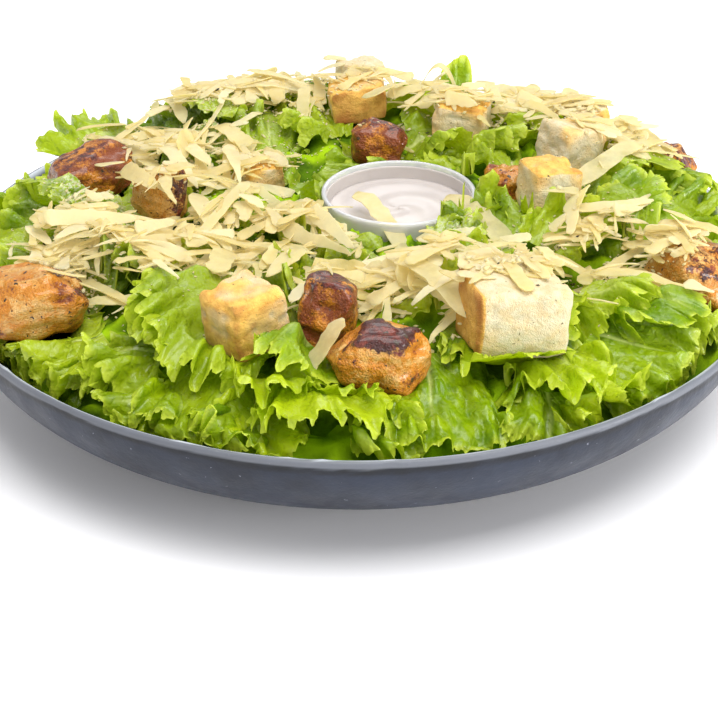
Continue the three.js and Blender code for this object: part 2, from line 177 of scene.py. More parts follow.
# Rows of leaves: how many, base radius, lift off the heap, length, tip angle, heading spread
LEAF_ROWS = [
    dict(count=16, radius=99, lift=-2, length=38, pitch=3, spread=28, sink=4),
    dict(count=10, radius=79, lift=0, length=36, pitch=12, spread=32, sink=3),
]
SHOW_LEAVES = [
    dict(at=(-92, 76, 3), heading=128, pitch=14, length=32, over=True, keel=0, dome=0.1, rise=40,
         tone=0.5),
    dict(at=(36, 95, 13), heading=80, pitch=62, length=19, over=False, calm=0.12, slim=0.55,
         torn=0.15, keel=0.3, dome=0, curl=0, tone=0, rise=40),
    dict(at=(-24, 92, 8), heading=105, pitch=8, length=20, over=False),
    dict(at=(100, -30, 14), heading=112, pitch=22, length=38, over=False, calm=0.3, torn=0.3,
         keel=-0.15, dome=0.3, curl=-0.5, tone=0.1, rise=14, puffed=1.3),
    dict(at=(20, -88, 9), heading=-86, pitch=-10, length=42, over=False, calm=0.5, torn=0.6,
         keel=0, dome=0.25, curl=0, tone=0, puffed=2.0),
    dict(at=(-31, 48, 13), heading=92, pitch=24, length=30, over=False, keel=-0.1, dome=0.1,
         tone=0.5),
    dict(at=(31, -24, 12), heading=70, pitch=42, length=17, over=False),
    dict(at=(56, -16, 12), heading=95, pitch=26, length=24, over=False),
]
# Smaller leaves that fill the gaps between those rows
FILL_ROWS = [
    dict(count=24, radius=110, lift=-5, length=24, pitch=-4, spread=30, sink=5),
    dict(count=26, radius=114, lift=-3, length=21, pitch=5, spread=50, sink=7),
    dict(count=20, radius=101, lift=-1, length=26, pitch=22, spread=60, sink=7),
    dict(count=16, radius=86, lift=1, length=25, pitch=22, spread=70),
    dict(count=14, radius=62, lift=-1, length=25, pitch=18, spread=90),
    dict(count=14, radius=48, lift=-2, length=22, pitch=16, spread=180),
    dict(count=11, radius=37, lift=-2, length=19, pitch=10, spread=180, middle=(14, 9)),
]
# How far each leaf strays from its row: share of a step round, mm, degrees or share of its length
LEAF_STRAY = dict(turn=0.3, radius=4.0, lift=1.5, pitch=16.0, roll=24.0, length=0.16)
REAR_FLATTER = 22.0
SINK_TOWARD = 160.0
# Part of the rim without leaves: from and to this turn, for leaves rooted past this radius
BARE_RIM = (126.0, 168.0)
BARE_RIM_RADIUS = 101.0
# Shape and bounds of every leaf
LEAF_FAN = math.radians(86)
LEAF_SETBACK = 0.42
LEAF_CLEARANCE = 1.2
LEAF_CEILING = 14.0
REAR_CEILING_FALL = 0.11
SHAVING_CEILING = 33.5
CEILING_PRESS = 0.75
CURL_ROOM = 1.3
LEAF_CROWD = 6.0
OVERHANG = 12.0
OVER_RIM_GAP = 1.5
LEAF_RINGS = 22
LEAF_COLUMNS_PER_MM = 5.0
MARGIN_PER_LENGTH = 2.1
# Frills of a leaf's margin: distance from crest to crest, height and depth into the leaf
FRILLS = [
    dict(apart=19.0, height=4.4, depth=26.0, fold=0.28),
    dict(apart=7.4, height=1.9, depth=6.5, fold=0.32),
    dict(apart=3.3, height=0.8, depth=3.5, fold=0.3),
]
# Torn cuts and fine teeth of the margin
CUTS_APART = 3.1
CUT_DEPTH = 2.6
TEETH_APART = 2.7
TOOTH_DEPTH = 1.3
RIB_WIDTH = 1.5
BRANCH_WIDTH = 0.5
BRANCH_SLOPE = 0.75
LEAVES_PER_PIECE = 20
# Leaves longer than this stand out, and others are rooted this far from them
CLEAR_LENGTH = 35.0
CLEAR_REACH = 17.0

# Where the cheese lies: middle, spread across and along, and how many shavings
DRIFTS = [
    dict(at=(-50, -28), spread=(29, 15), count=142),
    dict(at=(-88, -38), spread=(16, 10), count=34),
    dict(at=(8, -58), spread=(20, 8), count=56),
    dict(at=(44, -74), spread=(13, 6), count=30),
    dict(at=(78, -34), spread=(18, 8), count=42),
    dict(at=(103, -44), spread=(10, 9), count=14),
    dict(at=(92, 44), spread=(12, 12), count=34),
    dict(at=(66, 74), spread=(18, 11), count=40),
    dict(at=(22, 78), spread=(26, 11), count=26),
    dict(at=(37, 58), spread=(7, 6), count=8),
    dict(at=(-46, 86), spread=(27, 8), count=58),
    dict(at=(-66, 46), spread=(15, 14), count=42),
    dict(at=(-40, 27), spread=(13, 9), count=18),
]
# Gaps that cheese keeps from the pot and from the bowl's wall
CHEESE_POT_GAP = 9.0
CHEESE_WALL_GAP = 16.0
# Places without cheese: middle and radius
BARE_SPOTS = [(-94, 29, 15.0), (72, 31, 7.0), (64, 4, 9.0), (-33, -86, 11.0), (-104, -62, 13.0),
              (-9, -79, 9.0), (37, 102, 8.0), (63, -84, 10.0)]
SHAVING_STEPS = 12
STRIP_LANES = 6
MIDDLE_LANES = (1, 4)
STRIP_THICKNESS = 0.32
STRIP_SETTLE = 0.4
STRIP_DROP = 10.0
SHORTEST_STRIP = 12.0
FLAKE_SIDES = 5
STIFFNESS = (0.008, 0.020)
TOP_STIFFNESS_SHARE = 0.3
# How far a shaving bows sideways, as a share of its length
STREWN_BOW = 0.14
TOP_BOW = 0.06
# Least and most of each size
SHRED_LENGTH = (4.0, 15.0)
SHRED_WIDTH = (1.0, 3.4)
SHAVING_LENGTH = (11.0, 38.0)
SHAVING_WIDTH = (2.4, 7.4)
TOP_WIDTH_SHARE = 1.25
SHREDS_PER_SHAVING = 1.75
WEDGE_SHARE = 0.75
STRIP_LIFT = 0.3
TOP_LIFT = 1.5
CRUMBS_PER_SHAVING = 6
CRUMBS_PER_PEPPER = 16
CRUMB_SIZE = (0.9, 2.7)
PEPPER_SIZE = (0.7, 1.6)
DUST_SIZE = (0.4, 1.1)
# Large shavings that lie on top: middle, heading, length and width
TOP_SHAVINGS = [
    dict(at=(-46, -24), heading=-71, length=42, width=6.5),
    dict(at=(-33, -20), heading=-52, length=48, width=6.5),
    dict(at=(-42, 24), heading=-79, length=30, width=5.5),
    dict(at=(-59, 17), heading=-68, length=34, width=6.0),
    dict(at=(-60, 38), heading=-55, length=34, width=6.5),
    dict(at=(-64, -31), heading=29, length=27, width=4.5),
    dict(at=(-84, -32), heading=12, length=30, width=5.0),
    dict(at=(-57, -70), heading=-53, length=27, width=2.6),
    dict(at=(-84, 22), heading=24, length=16, width=4.5),
    dict(at=(-8, -34), heading=-60, length=28, width=5.5),
    dict(at=(8, -44), heading=33, length=28, width=5.5),
    dict(at=(16, -60), heading=-61, length=34, width=6.0),
    dict(at=(29, -44), heading=-43, length=24, width=6.0),
    dict(at=(49, -50), heading=16, length=30, width=5.5),
    dict(at=(82, -22), heading=13, length=34, width=5.0),
    dict(at=(86, -29), heading=22, length=20, width=4.0),
    dict(at=(102, -32), heading=-45, length=30, width=4.5),
    dict(at=(104, -66), heading=-40, length=20, width=5.5),
    dict(at=(96, 46), heading=-66, length=28, width=6.5),
    dict(at=(62, 70), heading=-20, length=24, width=5.5),
    dict(at=(48, 66), heading=-79, length=26, width=5.5),
    dict(at=(-29, 86), heading=-35, length=28, width=4.5),
]
# Shavings that lean from one point to another, each (x, y, height above the rim)
LEANING_SHAVINGS = [
    dict(start=(0, 8, 17.5), end=(15, -23, 11), width=6.0, bow=3.0, thin=0.3),
    dict(start=(30, 4, 18), end=(50, -25, 12), width=7.4, bow=3.0, thin=0.9),
    dict(start=(-4, -98, 26), end=(-17, -107, 7), width=6.5, bow=1.5, thin=0.9),
    dict(start=(12, -58, 25), end=(34, -88, 20), width=7.0, bow=5.0, thin=0.7),
    dict(start=(71, 0, 22), end=(96, 26, 28), width=7.5, bow=2.0, thin=0.8),
    dict(start=(-19, 76, 28), end=(-20, 58, 18), width=4.6, bow=1.0, thin=0.5),
    dict(start=(24, 96, 21), end=(37, 92, 20), width=3.4, bow=9.0, thin=0.5),
]
# Fine dust of grated cheese on the leaves: middle, spread and how many grains
DUSTINGS = [
    dict(at=(-90, -8), spread=(14, 18), count=700, dust=0.8),
    dict(at=(-27, 44), spread=(17, 16), count=350, dust=0.1),
    dict(at=(28, -22), spread=(10, 6), count=320, dust=0.6),
    dict(at=(-24, -6), spread=(7, 10), count=260, dust=0.6),
    dict(at=(-68, 60), spread=(18, 14), count=700, dust=0.6),
    dict(at=(-30, 72), spread=(20, 14), count=250, dust=0.05),
    dict(at=(70, 30), spread=(30, 30), count=400, dust=0.12),
    dict(at=(-40, -30), spread=(45, 26), count=900, dust=0.3),
    dict(at=(50, -50), spread=(45, 16), count=400, dust=0.2),
]

# Seeds of the random draws
LEAF_SEED = 4766
TONE_SEED = 31
CHEESE_SEED = 977
CRUMB_SEED = 1213
# Seeds of the first crouton's and chunk's shape and grain, and of a chunk's knife cuts
CROUTON_SEED = 101
CROUTON_GRAIN_SEED = 40
CHICKEN_SEED = 201
CHICKEN_GRAIN_SEED = 140
KNIFE_SEED = 300

# Room: the floor's side, the surroundings' light, and square lights with their power in watts
FLOOR_SIDE = 12.0
SURROUNDINGS_LIGHT = 0.52
LIGHTS = [
    dict(name="key", at=(0.15, -0.34, 1.07), watts=16.5, size=0.85),
    dict(name="right_fill", at=(1.15, -0.60, 0.22), watts=13.5, size=0.5),
    dict(name="left_back_fill", at=(-1.10, 0.50, 0.16), watts=2.4, size=0.4),
    dict(name="back_fill", at=(0.10, 0.90, 0.80), watts=3.5, size=0.6),
]
# The camera's place and view, in millimetres from the middle of the bowl's rim
CAMERA_DISTANCE = 700.0
CAMERA_ELEVATION = math.radians(26.07)
CAMERA_PITCH = math.radians(29.08)
CAMERA_SIDE = 0.64
CAMERA_LENS = 104.4


# Numbers and shapes

def seeded_draws(seed):
    """A repeatable source of numbers from 0 to 1."""
    state = [seed]

    def draw():
        state[0] = state[0] * 48271 % 2147483647
        return state[0] / 2147483647
    return draw


def between(ends, share):
    """The number at a share of the way between two."""
    return ends[0] + (ends[1] - ends[0]) * share


def smoothstep(low, high, value):
    """0 below low, 1 above high, and a smooth turn between."""
    share = np.clip((value - low) / (high - low), 0, 1)
    return share * share * (3 - 2 * share)


def lattice_value(corner, seed):
    """One repeatable number from 0 to 1 for each corner of a lattice."""
    mixed = (corner[:, 0] * 374761393 + corner[:, 1] * 668265263
             + corner[:, 2] * 1442695041 + seed * 1274126177) & 0xFFFFFFFF
    mixed = ((mixed ^ (mixed >> 13)) * 1274126177) & 0xFFFFFFFF
    return ((mixed ^ (mixed >> 16)) & 0xFFFF) / 65535.0


def noise(points, size, seed=0):
    """Smooth noise from -1 to 1 at each point, with bumps about size across."""
    place = np.asarray(points, float) / size
    cell = np.floor(place).astype(np.int64)
    share = place - cell
    share = share * share * (3 - 2 * share)
    total = np.zeros(len(place))
    for step in np.ndindex(2, 2, 2):
        weight = np.prod(np.where(step, share, 1 - share), axis=1)
        total += weight * lattice_value(cell + np.array(step), seed)
    return 2 * total - 1


def grid_faces(columns, rows, wrap=False):
    """Quads of a grid of points kept row by row, each row columns long."""
    across = np.arange(columns if wrap else columns - 1)
    after = (across + 1) % columns
    along = np.arange(rows - 1)[:, None] * columns
    corners = [along + across, along + after, along + columns + after, along + columns + across]
    return np.stack([c.ravel() for c in corners], axis=1)


def rotation(heading=0.0, pitch=0.0, roll=0.0):
    """Turn about Z, then tip the front up, then roll, in degrees."""
    turn = Matrix.Rotation(math.radians(heading), 3, "Z")
    tip = Matrix.Rotation(math.radians(-pitch), 3, "Y")
    return np.array(turn @ tip @ Matrix.Rotation(math.radians(roll), 3, "X"))


def add_object(name, data):
    """A new object in the scene."""
    made = bpy.data.objects.new(name, data)
    bpy.context.scene.collection.objects.link(made)
    return made


def make_piece(name, points, faces, material, replaced=(), values=None):
    """A smooth mesh piece of the object, riding on its one body."""
    mesh = bpy.data.meshes.new(name)
    mesh.from_pydata((np.asarray(points) * MM).tolist(), [], np.asarray(faces).tolist())
    for key, numbers in (values or {}).items():
        layer = mesh.attributes.new(key, "FLOAT", "POINT")
        layer.data.foreach_set("value", np.asarray(numbers, np.float32))
    mesh.polygons.foreach_set("use_smooth", np.ones(len(mesh.polygons), bool))
    mesh.materials.append(material)
    mesh.update()
    piece = add_object(name, mesh)
    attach(piece, "root")
    if replaced:
        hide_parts(*replaced)
    return piece


def joined(parts):
    """Several (points, faces, values) as one."""
    start = 0
    points, faces, values = [], [], {}
    for part_points, part_faces, part_values in parts:
        points.append(part_points)
        faces.append(np.asarray(part_faces) + start)
        start += len(part_points)
        for key, numbers in part_values.items():
            values.setdefault(key, []).append(numbers)
    merged = {key: np.concatenate(lists) for key, lists in values.items()}
    return np.concatenate(points), np.concatenate(faces), merged


# Shader helpers

def shader_node(tree, kind, **settings):
    """A shader node: settings that begin with to_ set or link a socket, others a property."""
    made = tree.nodes.new(kind)
    links = {}
    for key, value in settings.items():
        if key.startswith("to_"):
            links[key[3:]] = value
        else:
            setattr(made, key, value)
    for key, value in links.items():
        socket = made.inputs[int(key)] if key.isdigit() else made.inputs[key.replace("_", " ")]
        if isinstance(value, bpy.types.NodeSocket):
            tree.links.new(value, socket)
        else:
            socket.default_value = value
    return made


def new_group(name, inputs, outputs):
    """A shader node group with named sockets, and its input and output nodes."""
    tree = bpy.data.node_groups.new(name, "ShaderNodeTree")
    kinds = {"value": "NodeSocketFloat", "colour": "NodeSocketColor"}
    for key, (kind, value) in inputs.items():
        socket = tree.interface.new_socket(key, in_out="INPUT", socket_type=kinds[kind])
        socket.default_value = value
    for key, kind in outputs.items():
        tree.interface.new_socket(key, in_out="OUTPUT", socket_type=kinds[kind])
    return tree, tree.nodes.new("NodeGroupInput"), tree.nodes.new("NodeGroupOutput")


def own_place(tree):
    """Where a point lies on its own object."""
    return shader_node(tree, "ShaderNodeTexCoord").outputs["Object"]


def worked_out(tree, operation, first, second):
    """A number worked out from two, each a value or a socket."""
    return shader_node(tree, "ShaderNodeMath", operation=operation, to_0=first,
                       to_1=second).outputs[0]


def ragged_place(tree, place, scale, reach):
    """A place moved about by noise, so that what is laid out over it has ragged edges."""
    drift = shader_node(tree, "ShaderNodeTexNoise", to_Vector=place, to_Scale=scale)
    moved = shader_node(tree, "ShaderNodeVectorMath", operation="SCALE",
                        to_0=drift.outputs["Color"], to_Scale=reach)
    return shader_node(tree, "ShaderNodeVectorMath", operation="ADD", to_0=place,
                       to_1=moved.outputs["Vector"]).outputs["Vector"]


def mixed(tree, share, first, second):
    """A colour mixed from two, where share, first and second are values or sockets."""
    return shader_node(tree, "ShaderNodeMix", data_type="RGBA", to_0=share, to_6=first,
                       to_7=second).outputs[2]


def ramped(tree, value, low, high):
    """A value turned smoothly from 0 at low to 1 at high."""
    return shader_node(tree, "ShaderNodeMapRange", interpolation_type="SMOOTHSTEP",
                       to_Value=value, to_From_Min=low, to_From_Max=high).outputs["Result"]


def mottle_group():
    """Two colours mixed by soft cloudy noise."""
    tree, given, result = new_group("mottle", {
        "First": ("colour", (1, 1, 1, 1)),
        "Second": ("colour", (0, 0, 0, 1)),
        "Scale": ("value", 100.0),
        "Low": ("value", 0.35),
        "High": ("value", 0.65),
    }, {"Colour": "colour", "Mask": "value"})
    place = own_place(tree)
    cloud = shader_node(tree, "ShaderNodeTexNoise", to_Vector=place, to_Detail=5.0,
                        to_Scale=given.outputs["Scale"], to_Roughness=0.6)
    share = ramped(tree, cloud.outputs["Fac"], given.outputs["Low"], given.outputs["High"])
    blend = mixed(tree, share, given.outputs["First"], given.outputs["Second"])
    tree.links.new(blend, result.inputs["Colour"])
    tree.links.new(share, result.inputs["Mask"])
    return tree


def speckle_group():
    """A mask of small scattered specks."""
    tree, given, result = new_group("speckle", {
        "Scale": ("value", 400.0),
        "Amount": ("value", 0.2),
    }, {"Mask": "value"})
    place = own_place(tree)
    cells = shader_node(tree, "ShaderNodeTexVoronoi", to_Scale=given.outputs["Scale"],
                        to_Vector=ragged_place(tree, place, 900.0, 0.0022))
    size = worked_out(tree, "MULTIPLY", cells.outputs["Color"], given.outputs["Amount"])
    inside = worked_out(tree, "LESS_THAN", cells.outputs["Distance"], size)
    tree.links.new(inside, result.inputs["Mask"])
    return tree


def relief_group():
    """Height of a fine two-scale grain, for a Bump node."""
    tree, given, result = new_group("fine_relief", {
        "Scale": ("value", 300.0),
        "Grain": ("value", 0.5),
    }, {"Height": "value"})
    place = own_place(tree)
    coarse = shader_node(tree, "ShaderNodeTexNoise", to_Vector=place, to_Detail=3.0,
                         to_Scale=given.outputs["Scale"])
    finer = worked_out(tree, "MULTIPLY", given.outputs["Scale"], 3.3)
    fine = shader_node(tree, "ShaderNodeTexNoise", to_Vector=place, to_Detail=2.0,
                       to_Scale=finer)
    grain = worked_out(tree, "MULTIPLY", fine.outputs["Fac"], given.outputs["Grain"])
    total = worked_out(tree, "ADD", coarse.outputs["Fac"], grain)
    tree.links.new(total, result.inputs["Height"])
    return tree


def blister_group():
    """Puffs between fine veins: their height, and a mask of the veins."""
    tree, given, result = new_group("puffs_and_veins", {
        "Scale": ("value", 200.0),
    }, {"Height": "value", "Veins": "value"})
    place = own_place(tree)
    cells = shader_node(tree, "ShaderNodeTexVoronoi", feature="DISTANCE_TO_EDGE",
                        to_Scale=given.outputs["Scale"],
                        to_Vector=ragged_place(tree, place, 260.0, 0.006))
    puff = shader_node(tree, "ShaderNodeMapRange", interpolation_type="SMOOTHSTEP",
                       to_Value=cells.outputs["Distance"], to_From_Max=0.35)
    vein = shader_node(tree, "ShaderNodeMapRange", to_Value=cells.outputs["Distance"],
                       to_From_Max=0.09, to_To_Min=1.0, to_To_Max=0.0)
    tree.links.new(puff.outputs["Result"], result.inputs["Height"])
    tree.links.new(vein.outputs["Result"], result.inputs["Veins"])
    return tree


MOTTLE = mottle_group()
SPECKLE = speckle_group()
RELIEF = relief_group()
BLISTER = blister_group()


def placed(tree, group, **settings):
    """A group placed in a material with its own values."""
    sockets = {"to_" + key: value for key, value in settings.items()}
    return shader_node(tree, "ShaderNodeGroup", node_tree=group, **sockets)


def attribute(tree, name):
    """A number stored on the mesh."""
    return shader_node(tree, "ShaderNodeAttribute", attribute_name=name).outputs["Fac"]


def new_material(name, **sockets):
    """A material with one Principled shader, whose constant sockets are set by name."""
    material = bpy.data.materials.new(name)
    material.use_nodes = True
    tree = material.node_tree
    shader = tree.nodes["Principled BSDF"]
    for key, value in sockets.items():
        shader.inputs[key.replace("_", " ")].default_value = value
    return material, tree, shader


def add_bump(tree, shader, height, distance, strength):
    """Relief on a shader's normal."""
    bump = shader_node(tree, "ShaderNodeBump", to_Distance=distance, to_Strength=strength,
                       to_Height=height)
    tree.links.new(bump.outputs["Normal"], shader.inputs["Normal"])
    return bump.outputs["Normal"]


def add_grain(tree, shader, scale, grain, distance, strength):
    """Fine grain as relief on a shader's normal."""
    relief = placed(tree, RELIEF, Scale=scale, Grain=grain)
    return add_bump(tree, shader, relief.outputs["Height"], distance, strength)


def patchy_roughness(tree, shader, patches, least, most):
    """Roughness from least to most over the patches of a mottle."""
    rough = shader_node(tree, "ShaderNodeMapRange", to_Value=patches.outputs["Mask"],
                        to_To_Min=least, to_To_Max=most)
    tree.links.new(rough.outputs["Result"], shader.inputs["Roughness"])


def light_through(tree, shader, colour, normal, share):
    """Mixes in the light that a thin piece lets through from behind."""
    through = shader_node(tree, "ShaderNodeBsdfTranslucent", to_Color=colour, to_Normal=normal)
    mix = shader_node(tree, "ShaderNodeMixShader", to_0=share, to_1=shader.outputs[0],
                      to_2=through.outputs[0])
    tree.links.new(mix.outputs[0], tree.nodes["Material Output"].inputs["Surface"])


# Materials

def leaf_material():
    """Fresh frilly lettuce: yellow-green blade, pale ribs, and a light curled margin, partly its
    own paler edge and partly painted highlight.
    """
    material, tree, shader = new_material("frilled_lettuce", Roughness=0.34, IOR=1.36,
                                          Coat_Weight=0.5, Coat_Roughness=0.18)
    blade = placed(tree, MOTTLE, First=(0.14, 0.27, 0.0, 1), Second=(0.33, 0.46, 0.001, 1),
                   Scale=55.0, Low=0.35, High=0.66)
    leaf = mixed(tree, attribute(tree, "tone"), blade.outputs["Colour"],
                 (0.51, 0.62, 0.01, 1))
    # The margin's light colour is partly the leaf's own paler edge and partly a painted highlight.
    edge = ramped(tree, attribute(tree, "margin"), 0.2, 1.0)
    margin_paled_and_lit = mixed(tree, edge, leaf, (0.61, 0.71, 0.05, 1))
    ribbed = mixed(tree, ramped(tree, attribute(tree, "vein"), 0.1, 1.0), margin_paled_and_lit,
                   (0.74, 0.84, 0.26, 1))
    puffs = placed(tree, BLISTER, Scale=210.0)
    veined = worked_out(tree, "MULTIPLY", puffs.outputs["Veins"], 0.1)
    netted = mixed(tree, veined, ribbed, (0.66, 0.80, 0.10, 1))
    grains = placed(tree, MOTTLE, Scale=900.0, Low=0.42, High=0.56)
    dusty = worked_out(tree, "MULTIPLY", grains.outputs["Mask"], attribute(tree, "dust"))
    dusted = mixed(tree, dusty, netted, (0.78, 0.80, 0.56, 1))
    tree.links.new(dusted, shader.inputs["Base Color"])
    normal = add_bump(tree, shader, puffs.outputs["Height"], 0.0007, 0.55)
    glow = mixed(tree, 0.5, ribbed, (0.47, 0.69, 0.0, 1))
    light_through(tree, shader, glow, normal, 0.42)
    return material


def core_material():
    """Leaf in the depth of the heap, coloured a dark green that is painted shade, turning to the
    leaf's own green on the crests of its folds.
    """
    material, tree, shader = new_material("lettuce_core_painted_shade", Roughness=0.8, IOR=1.2)
    painted_shade_green = placed(tree, MOTTLE, First=(0.022, 0.055, 0.001, 1), Second=(0.09, 0.18, 0.001, 1),
                  Scale=90.0, Low=0.3, High=0.7)
    # Painted shade: the heap's depth is dark green, and only the fold crests keep the leaf's own
    # green.
    folded = mixed(tree, attribute(tree, "crest"), painted_shade_green.outputs["Colour"], (0.32, 0.50, 0.005, 1))
    tree.links.new(folded, shader.inputs["Base Color"])
    add_grain(tree, shader, scale=300.0, grain=0.5, distance=0.001, strength=0.6)
    return material


def cheese_material():
    """Shaved hard cheese: warm cream, clear enough where thin to show what is under, and a faint
    painted glow that lifts its shade.
    """
    material, tree, shader = new_material(
        "shaved_cheese", Roughness=0.42, IOR=1.38, Emission_Strength=0.24, Subsurface_Weight=0.4,
        Subsurface_Radius=(0.005, 0.004, 0.002), Subsurface_Scale=0.6)
    cream = placed(tree, MOTTLE, First=(0.77, 0.66, 0.29, 1), Second=(0.83, 0.735, 0.41, 1),
                   Scale=160.0, Low=0.3, High=0.7)
    pale = mixed(tree, attribute(tree, "tone"), cream.outputs["Colour"], (0.85, 0.785, 0.53, 1))
    tree.links.new(pale, shader.inputs["Base Color"])
    # Painted light: the cream also glows faintly, lifting the shade between shavings.
    tree.links.new(pale, shader.inputs["Emission Color"])
    patches = placed(tree, MOTTLE, Scale=110.0, Low=0.3, High=0.7)
    share = worked_out(tree, "MULTIPLY", patches.outputs["Mask"], attribute(tree, "thin"))
    solid = shader_node(tree, "ShaderNodeMapRange", to_Value=share, to_To_Min=0.95,
                        to_To_Max=0.42)
    tree.links.new(solid.outputs["Result"], shader.inputs["Alpha"])
    normal = add_grain(tree, shader, scale=600.0, grain=0.5, distance=0.0004, strength=0.4)
    light_through(tree, shader, pale, normal, 0.5)
    return material


def bread_material():
    """Toasted bread: open pale crumb, golden to brown where it is toasted, with a faint painted
    glow that lifts its shaded sides.
    """
    material, tree, shader = new_material(
        "toasted_bread", Roughness=0.75, Emission_Strength=0.07, Subsurface_Weight=0.12,
        Subsurface_Radius=(0.004, 0.003, 0.0015), Subsurface_Scale=0.5)
    crumb = placed(tree, MOTTLE, First=(0.62, 0.49, 0.27, 1), Second=(0.64, 0.57, 0.385, 1),
                   Scale=260.0, Low=0.35, High=0.65)
    golden = placed(tree, MOTTLE, First=(0.80, 0.48, 0.10, 1), Second=(0.60, 0.30, 0.05, 1),
                    Scale=320.0, Low=0.35, High=0.7)
    toast = attribute(tree, "toast")
    bread = mixed(tree, ramped(tree, toast, 0.15, 0.75), crumb.outputs["Colour"],
                  golden.outputs["Colour"])
    browned = mixed(tree, ramped(tree, toast, 0.85, 1.3), bread, (0.36, 0.13, 0.02, 1))
    herbs = placed(tree, SPECKLE, Scale=420.0, Amount=0.16)
    flecked = mixed(tree, herbs.outputs["Mask"], browned, (0.14, 0.11, 0.04, 1))
    tree.links.new(flecked, shader.inputs["Base Color"])
    # Painted light: the bread glows faintly in its own colour, lifting its shaded sides.
    tree.links.new(flecked, shader.inputs["Emission Color"])
    add_grain(tree, shader, scale=900.0, grain=0.8, distance=0.0008, strength=0.8)
    return material


def chicken_material():
    """Grilled chicken: orange-tan glaze, brown edges and charred bars, with pepper."""
    material, tree, shader = new_material("grilled_chicken", Roughness=0.36, IOR=1.36,
                                          Coat_Weight=0.4, Coat_Roughness=0.12)
    tan = placed(tree, MOTTLE, First=(0.63, 0.38, 0.13, 1), Second=(0.55, 0.25, 0.03, 1),
                 Scale=190.0, Low=0.35, High=0.7)
    blotch = placed(tree, RELIEF, Scale=420.0, Grain=0.7)
    spread = shader_node(tree, "ShaderNodeMapRange", to_Value=blotch.outputs["Height"],
                         to_From_Min=0.6, to_From_Max=1.1, to_To_Min=-0.35, to_To_Max=0.35)
    brown = worked_out(tree, "ADD", attribute(tree, "brown"), spread.outputs["Result"])
    grilled = mixed(tree, ramped(tree, brown, 0.1, 0.65), tan.outputs["Colour"],
                    (0.52, 0.19, 0.014, 1))
    browned = mixed(tree, ramped(tree, brown, 0.65, 1.2), grilled, (0.20, 0.045, 0.01, 1))
    burnt = placed(tree, MOTTLE, First=(0.045, 0.010, 0.009, 1), Second=(0.20, 0.030, 0.012, 1),
                   Scale=330.0, Low=0.4, High=0.75)
    ragged = worked_out(tree, "ADD", attribute(tree, "char"), spread.outputs["Result"])
    charred = mixed(tree, ramped(tree, ragged, 0.35, 0.75), browned, burnt.outputs["Colour"])
    pepper = placed(tree, SPECKLE, Scale=380.0, Amount=0.26)
    flecked = mixed(tree, pepper.outputs["Mask"], charred, (0.05, 0.03, 0.015, 1))
    tree.links.new(flecked, shader.inputs["Base Color"])
    add_grain(tree, shader, scale=500.0, grain=0.6, distance=0.0015, strength=0.8)
    return material


def stoneware_material():
    """Slate-blue stoneware with a pale highlight painted along the lip's top, and a dark line under
    it.
    """
    material, tree, shader = new_material("slate_stoneware", IOR=1.38)
    body = placed(tree, MOTTLE, First=(0.0075, 0.0105, 0.020, 1), Second=(0.0175, 0.0245, 0.044, 1),
                  Scale=45.0, Low=0.3, High=0.7)
    flecks = placed(tree, SPECKLE, Scale=260.0, Amount=0.12)
    flecked = mixed(tree, flecks.outputs["Mask"], body.outputs["Colour"],
                    (0.16, 0.17, 0.21, 1))
    dark = mixed(tree, attribute(tree, "under_lip"), flecked, (0.006, 0.007, 0.010, 1))
    # Painted highlight: the lip's top is painted pale.
    highlit_lip = mixed(tree, attribute(tree, "lip"), dark, (0.50, 0.53, 0.60, 1))
    tree.links.new(highlit_lip, shader.inputs["Base Color"])
    sheen = placed(tree, MOTTLE, Scale=80.0, Low=0.3, High=0.7)
    patchy_roughness(tree, shader, sheen, 0.36, 0.52)
    add_grain(tree, shader, scale=350.0, grain=0.5, distance=0.0004, strength=0.35)
    return material


def glass_material():
    """Clear glass of the pot, smeared a little with dressing."""
    material, tree, shader = new_material("pot_glass", IOR=1.47, Metallic=0.0,
                                          Transmission_Weight=0.55,
                                          Base_Color=(0.96, 0.96, 0.99, 1))
    smear = placed(tree, MOTTLE, Scale=60.0, Low=0.4, High=0.75)
    patchy_roughness(tree, shader, smear, 0.03, 0.16)
    return material


def dressing_material():
    """Creamy white dressing."""
    material, tree, shader = new_material(
        "creamy_dressing", Roughness=0.3, IOR=1.42, Subsurface_Weight=0.2,
        Subsurface_Radius=(0.003, 0.0025, 0.002), Subsurface_Scale=0.5)
    cream = placed(tree, MOTTLE, First=(0.47, 0.425, 0.40, 1), Second=(0.54, 0.49, 0.465, 1),
                   Scale=35.0, Low=0.3, High=0.7)
    tree.links.new(cream.outputs["Colour"], shader.inputs["Base Color"])
    add_grain(tree, shader, scale=110.0, grain=0.2, distance=0.0006, strength=0.3)
    return material


def pepper_material():
    """Cracked pepper and dried herb."""
    material, tree, shader = new_material("pepper_and_herb", Roughness=0.7)
    flake = placed(tree, MOTTLE, First=(0.02, 0.014, 0.008, 1), Second=(0.09, 0.08, 0.02, 1),
                   Scale=300.0, Low=0.4, High=0.6)
    tree.links.new(flake.outputs["Colour"], shader.inputs["Base Color"])
    return material


# Bowl, pot and dressing

def turned(profile, sides, centre=(0, 0)):
    """Points and faces of a profile of (radius, height) turned about an upright axis."""
    angle = np.arange(sides) * 2 * math.pi / sides
    profile = np.asarray(profile, float)
    x = centre[0] + profile[:, :1] * np.cos(angle)
    y = centre[1] + profile[:, :1] * np.sin(angle)
    z = np.repeat(profile[:, 1:], sides, axis=1)
    points = np.stack([x.ravel(), y.ravel(), z.ravel()], axis=1)
    return points, grid_faces(sides, len(profile), wrap=True)


def wall_profile(rim, foot, floor, top, steps):
    """A curved wall from its rim down to its floor."""
    angle = np.linspace(0, 1, steps) ** 1.6 * math.pi / 2
    radius = foot + (rim - foot) * np.cos(angle).clip(0) ** (2 / WALL_CURVE)
    height = top - (top - floor) * np.sin(angle) ** (2 / WALL_CURVE)
    return np.stack([radius, height], axis=1)


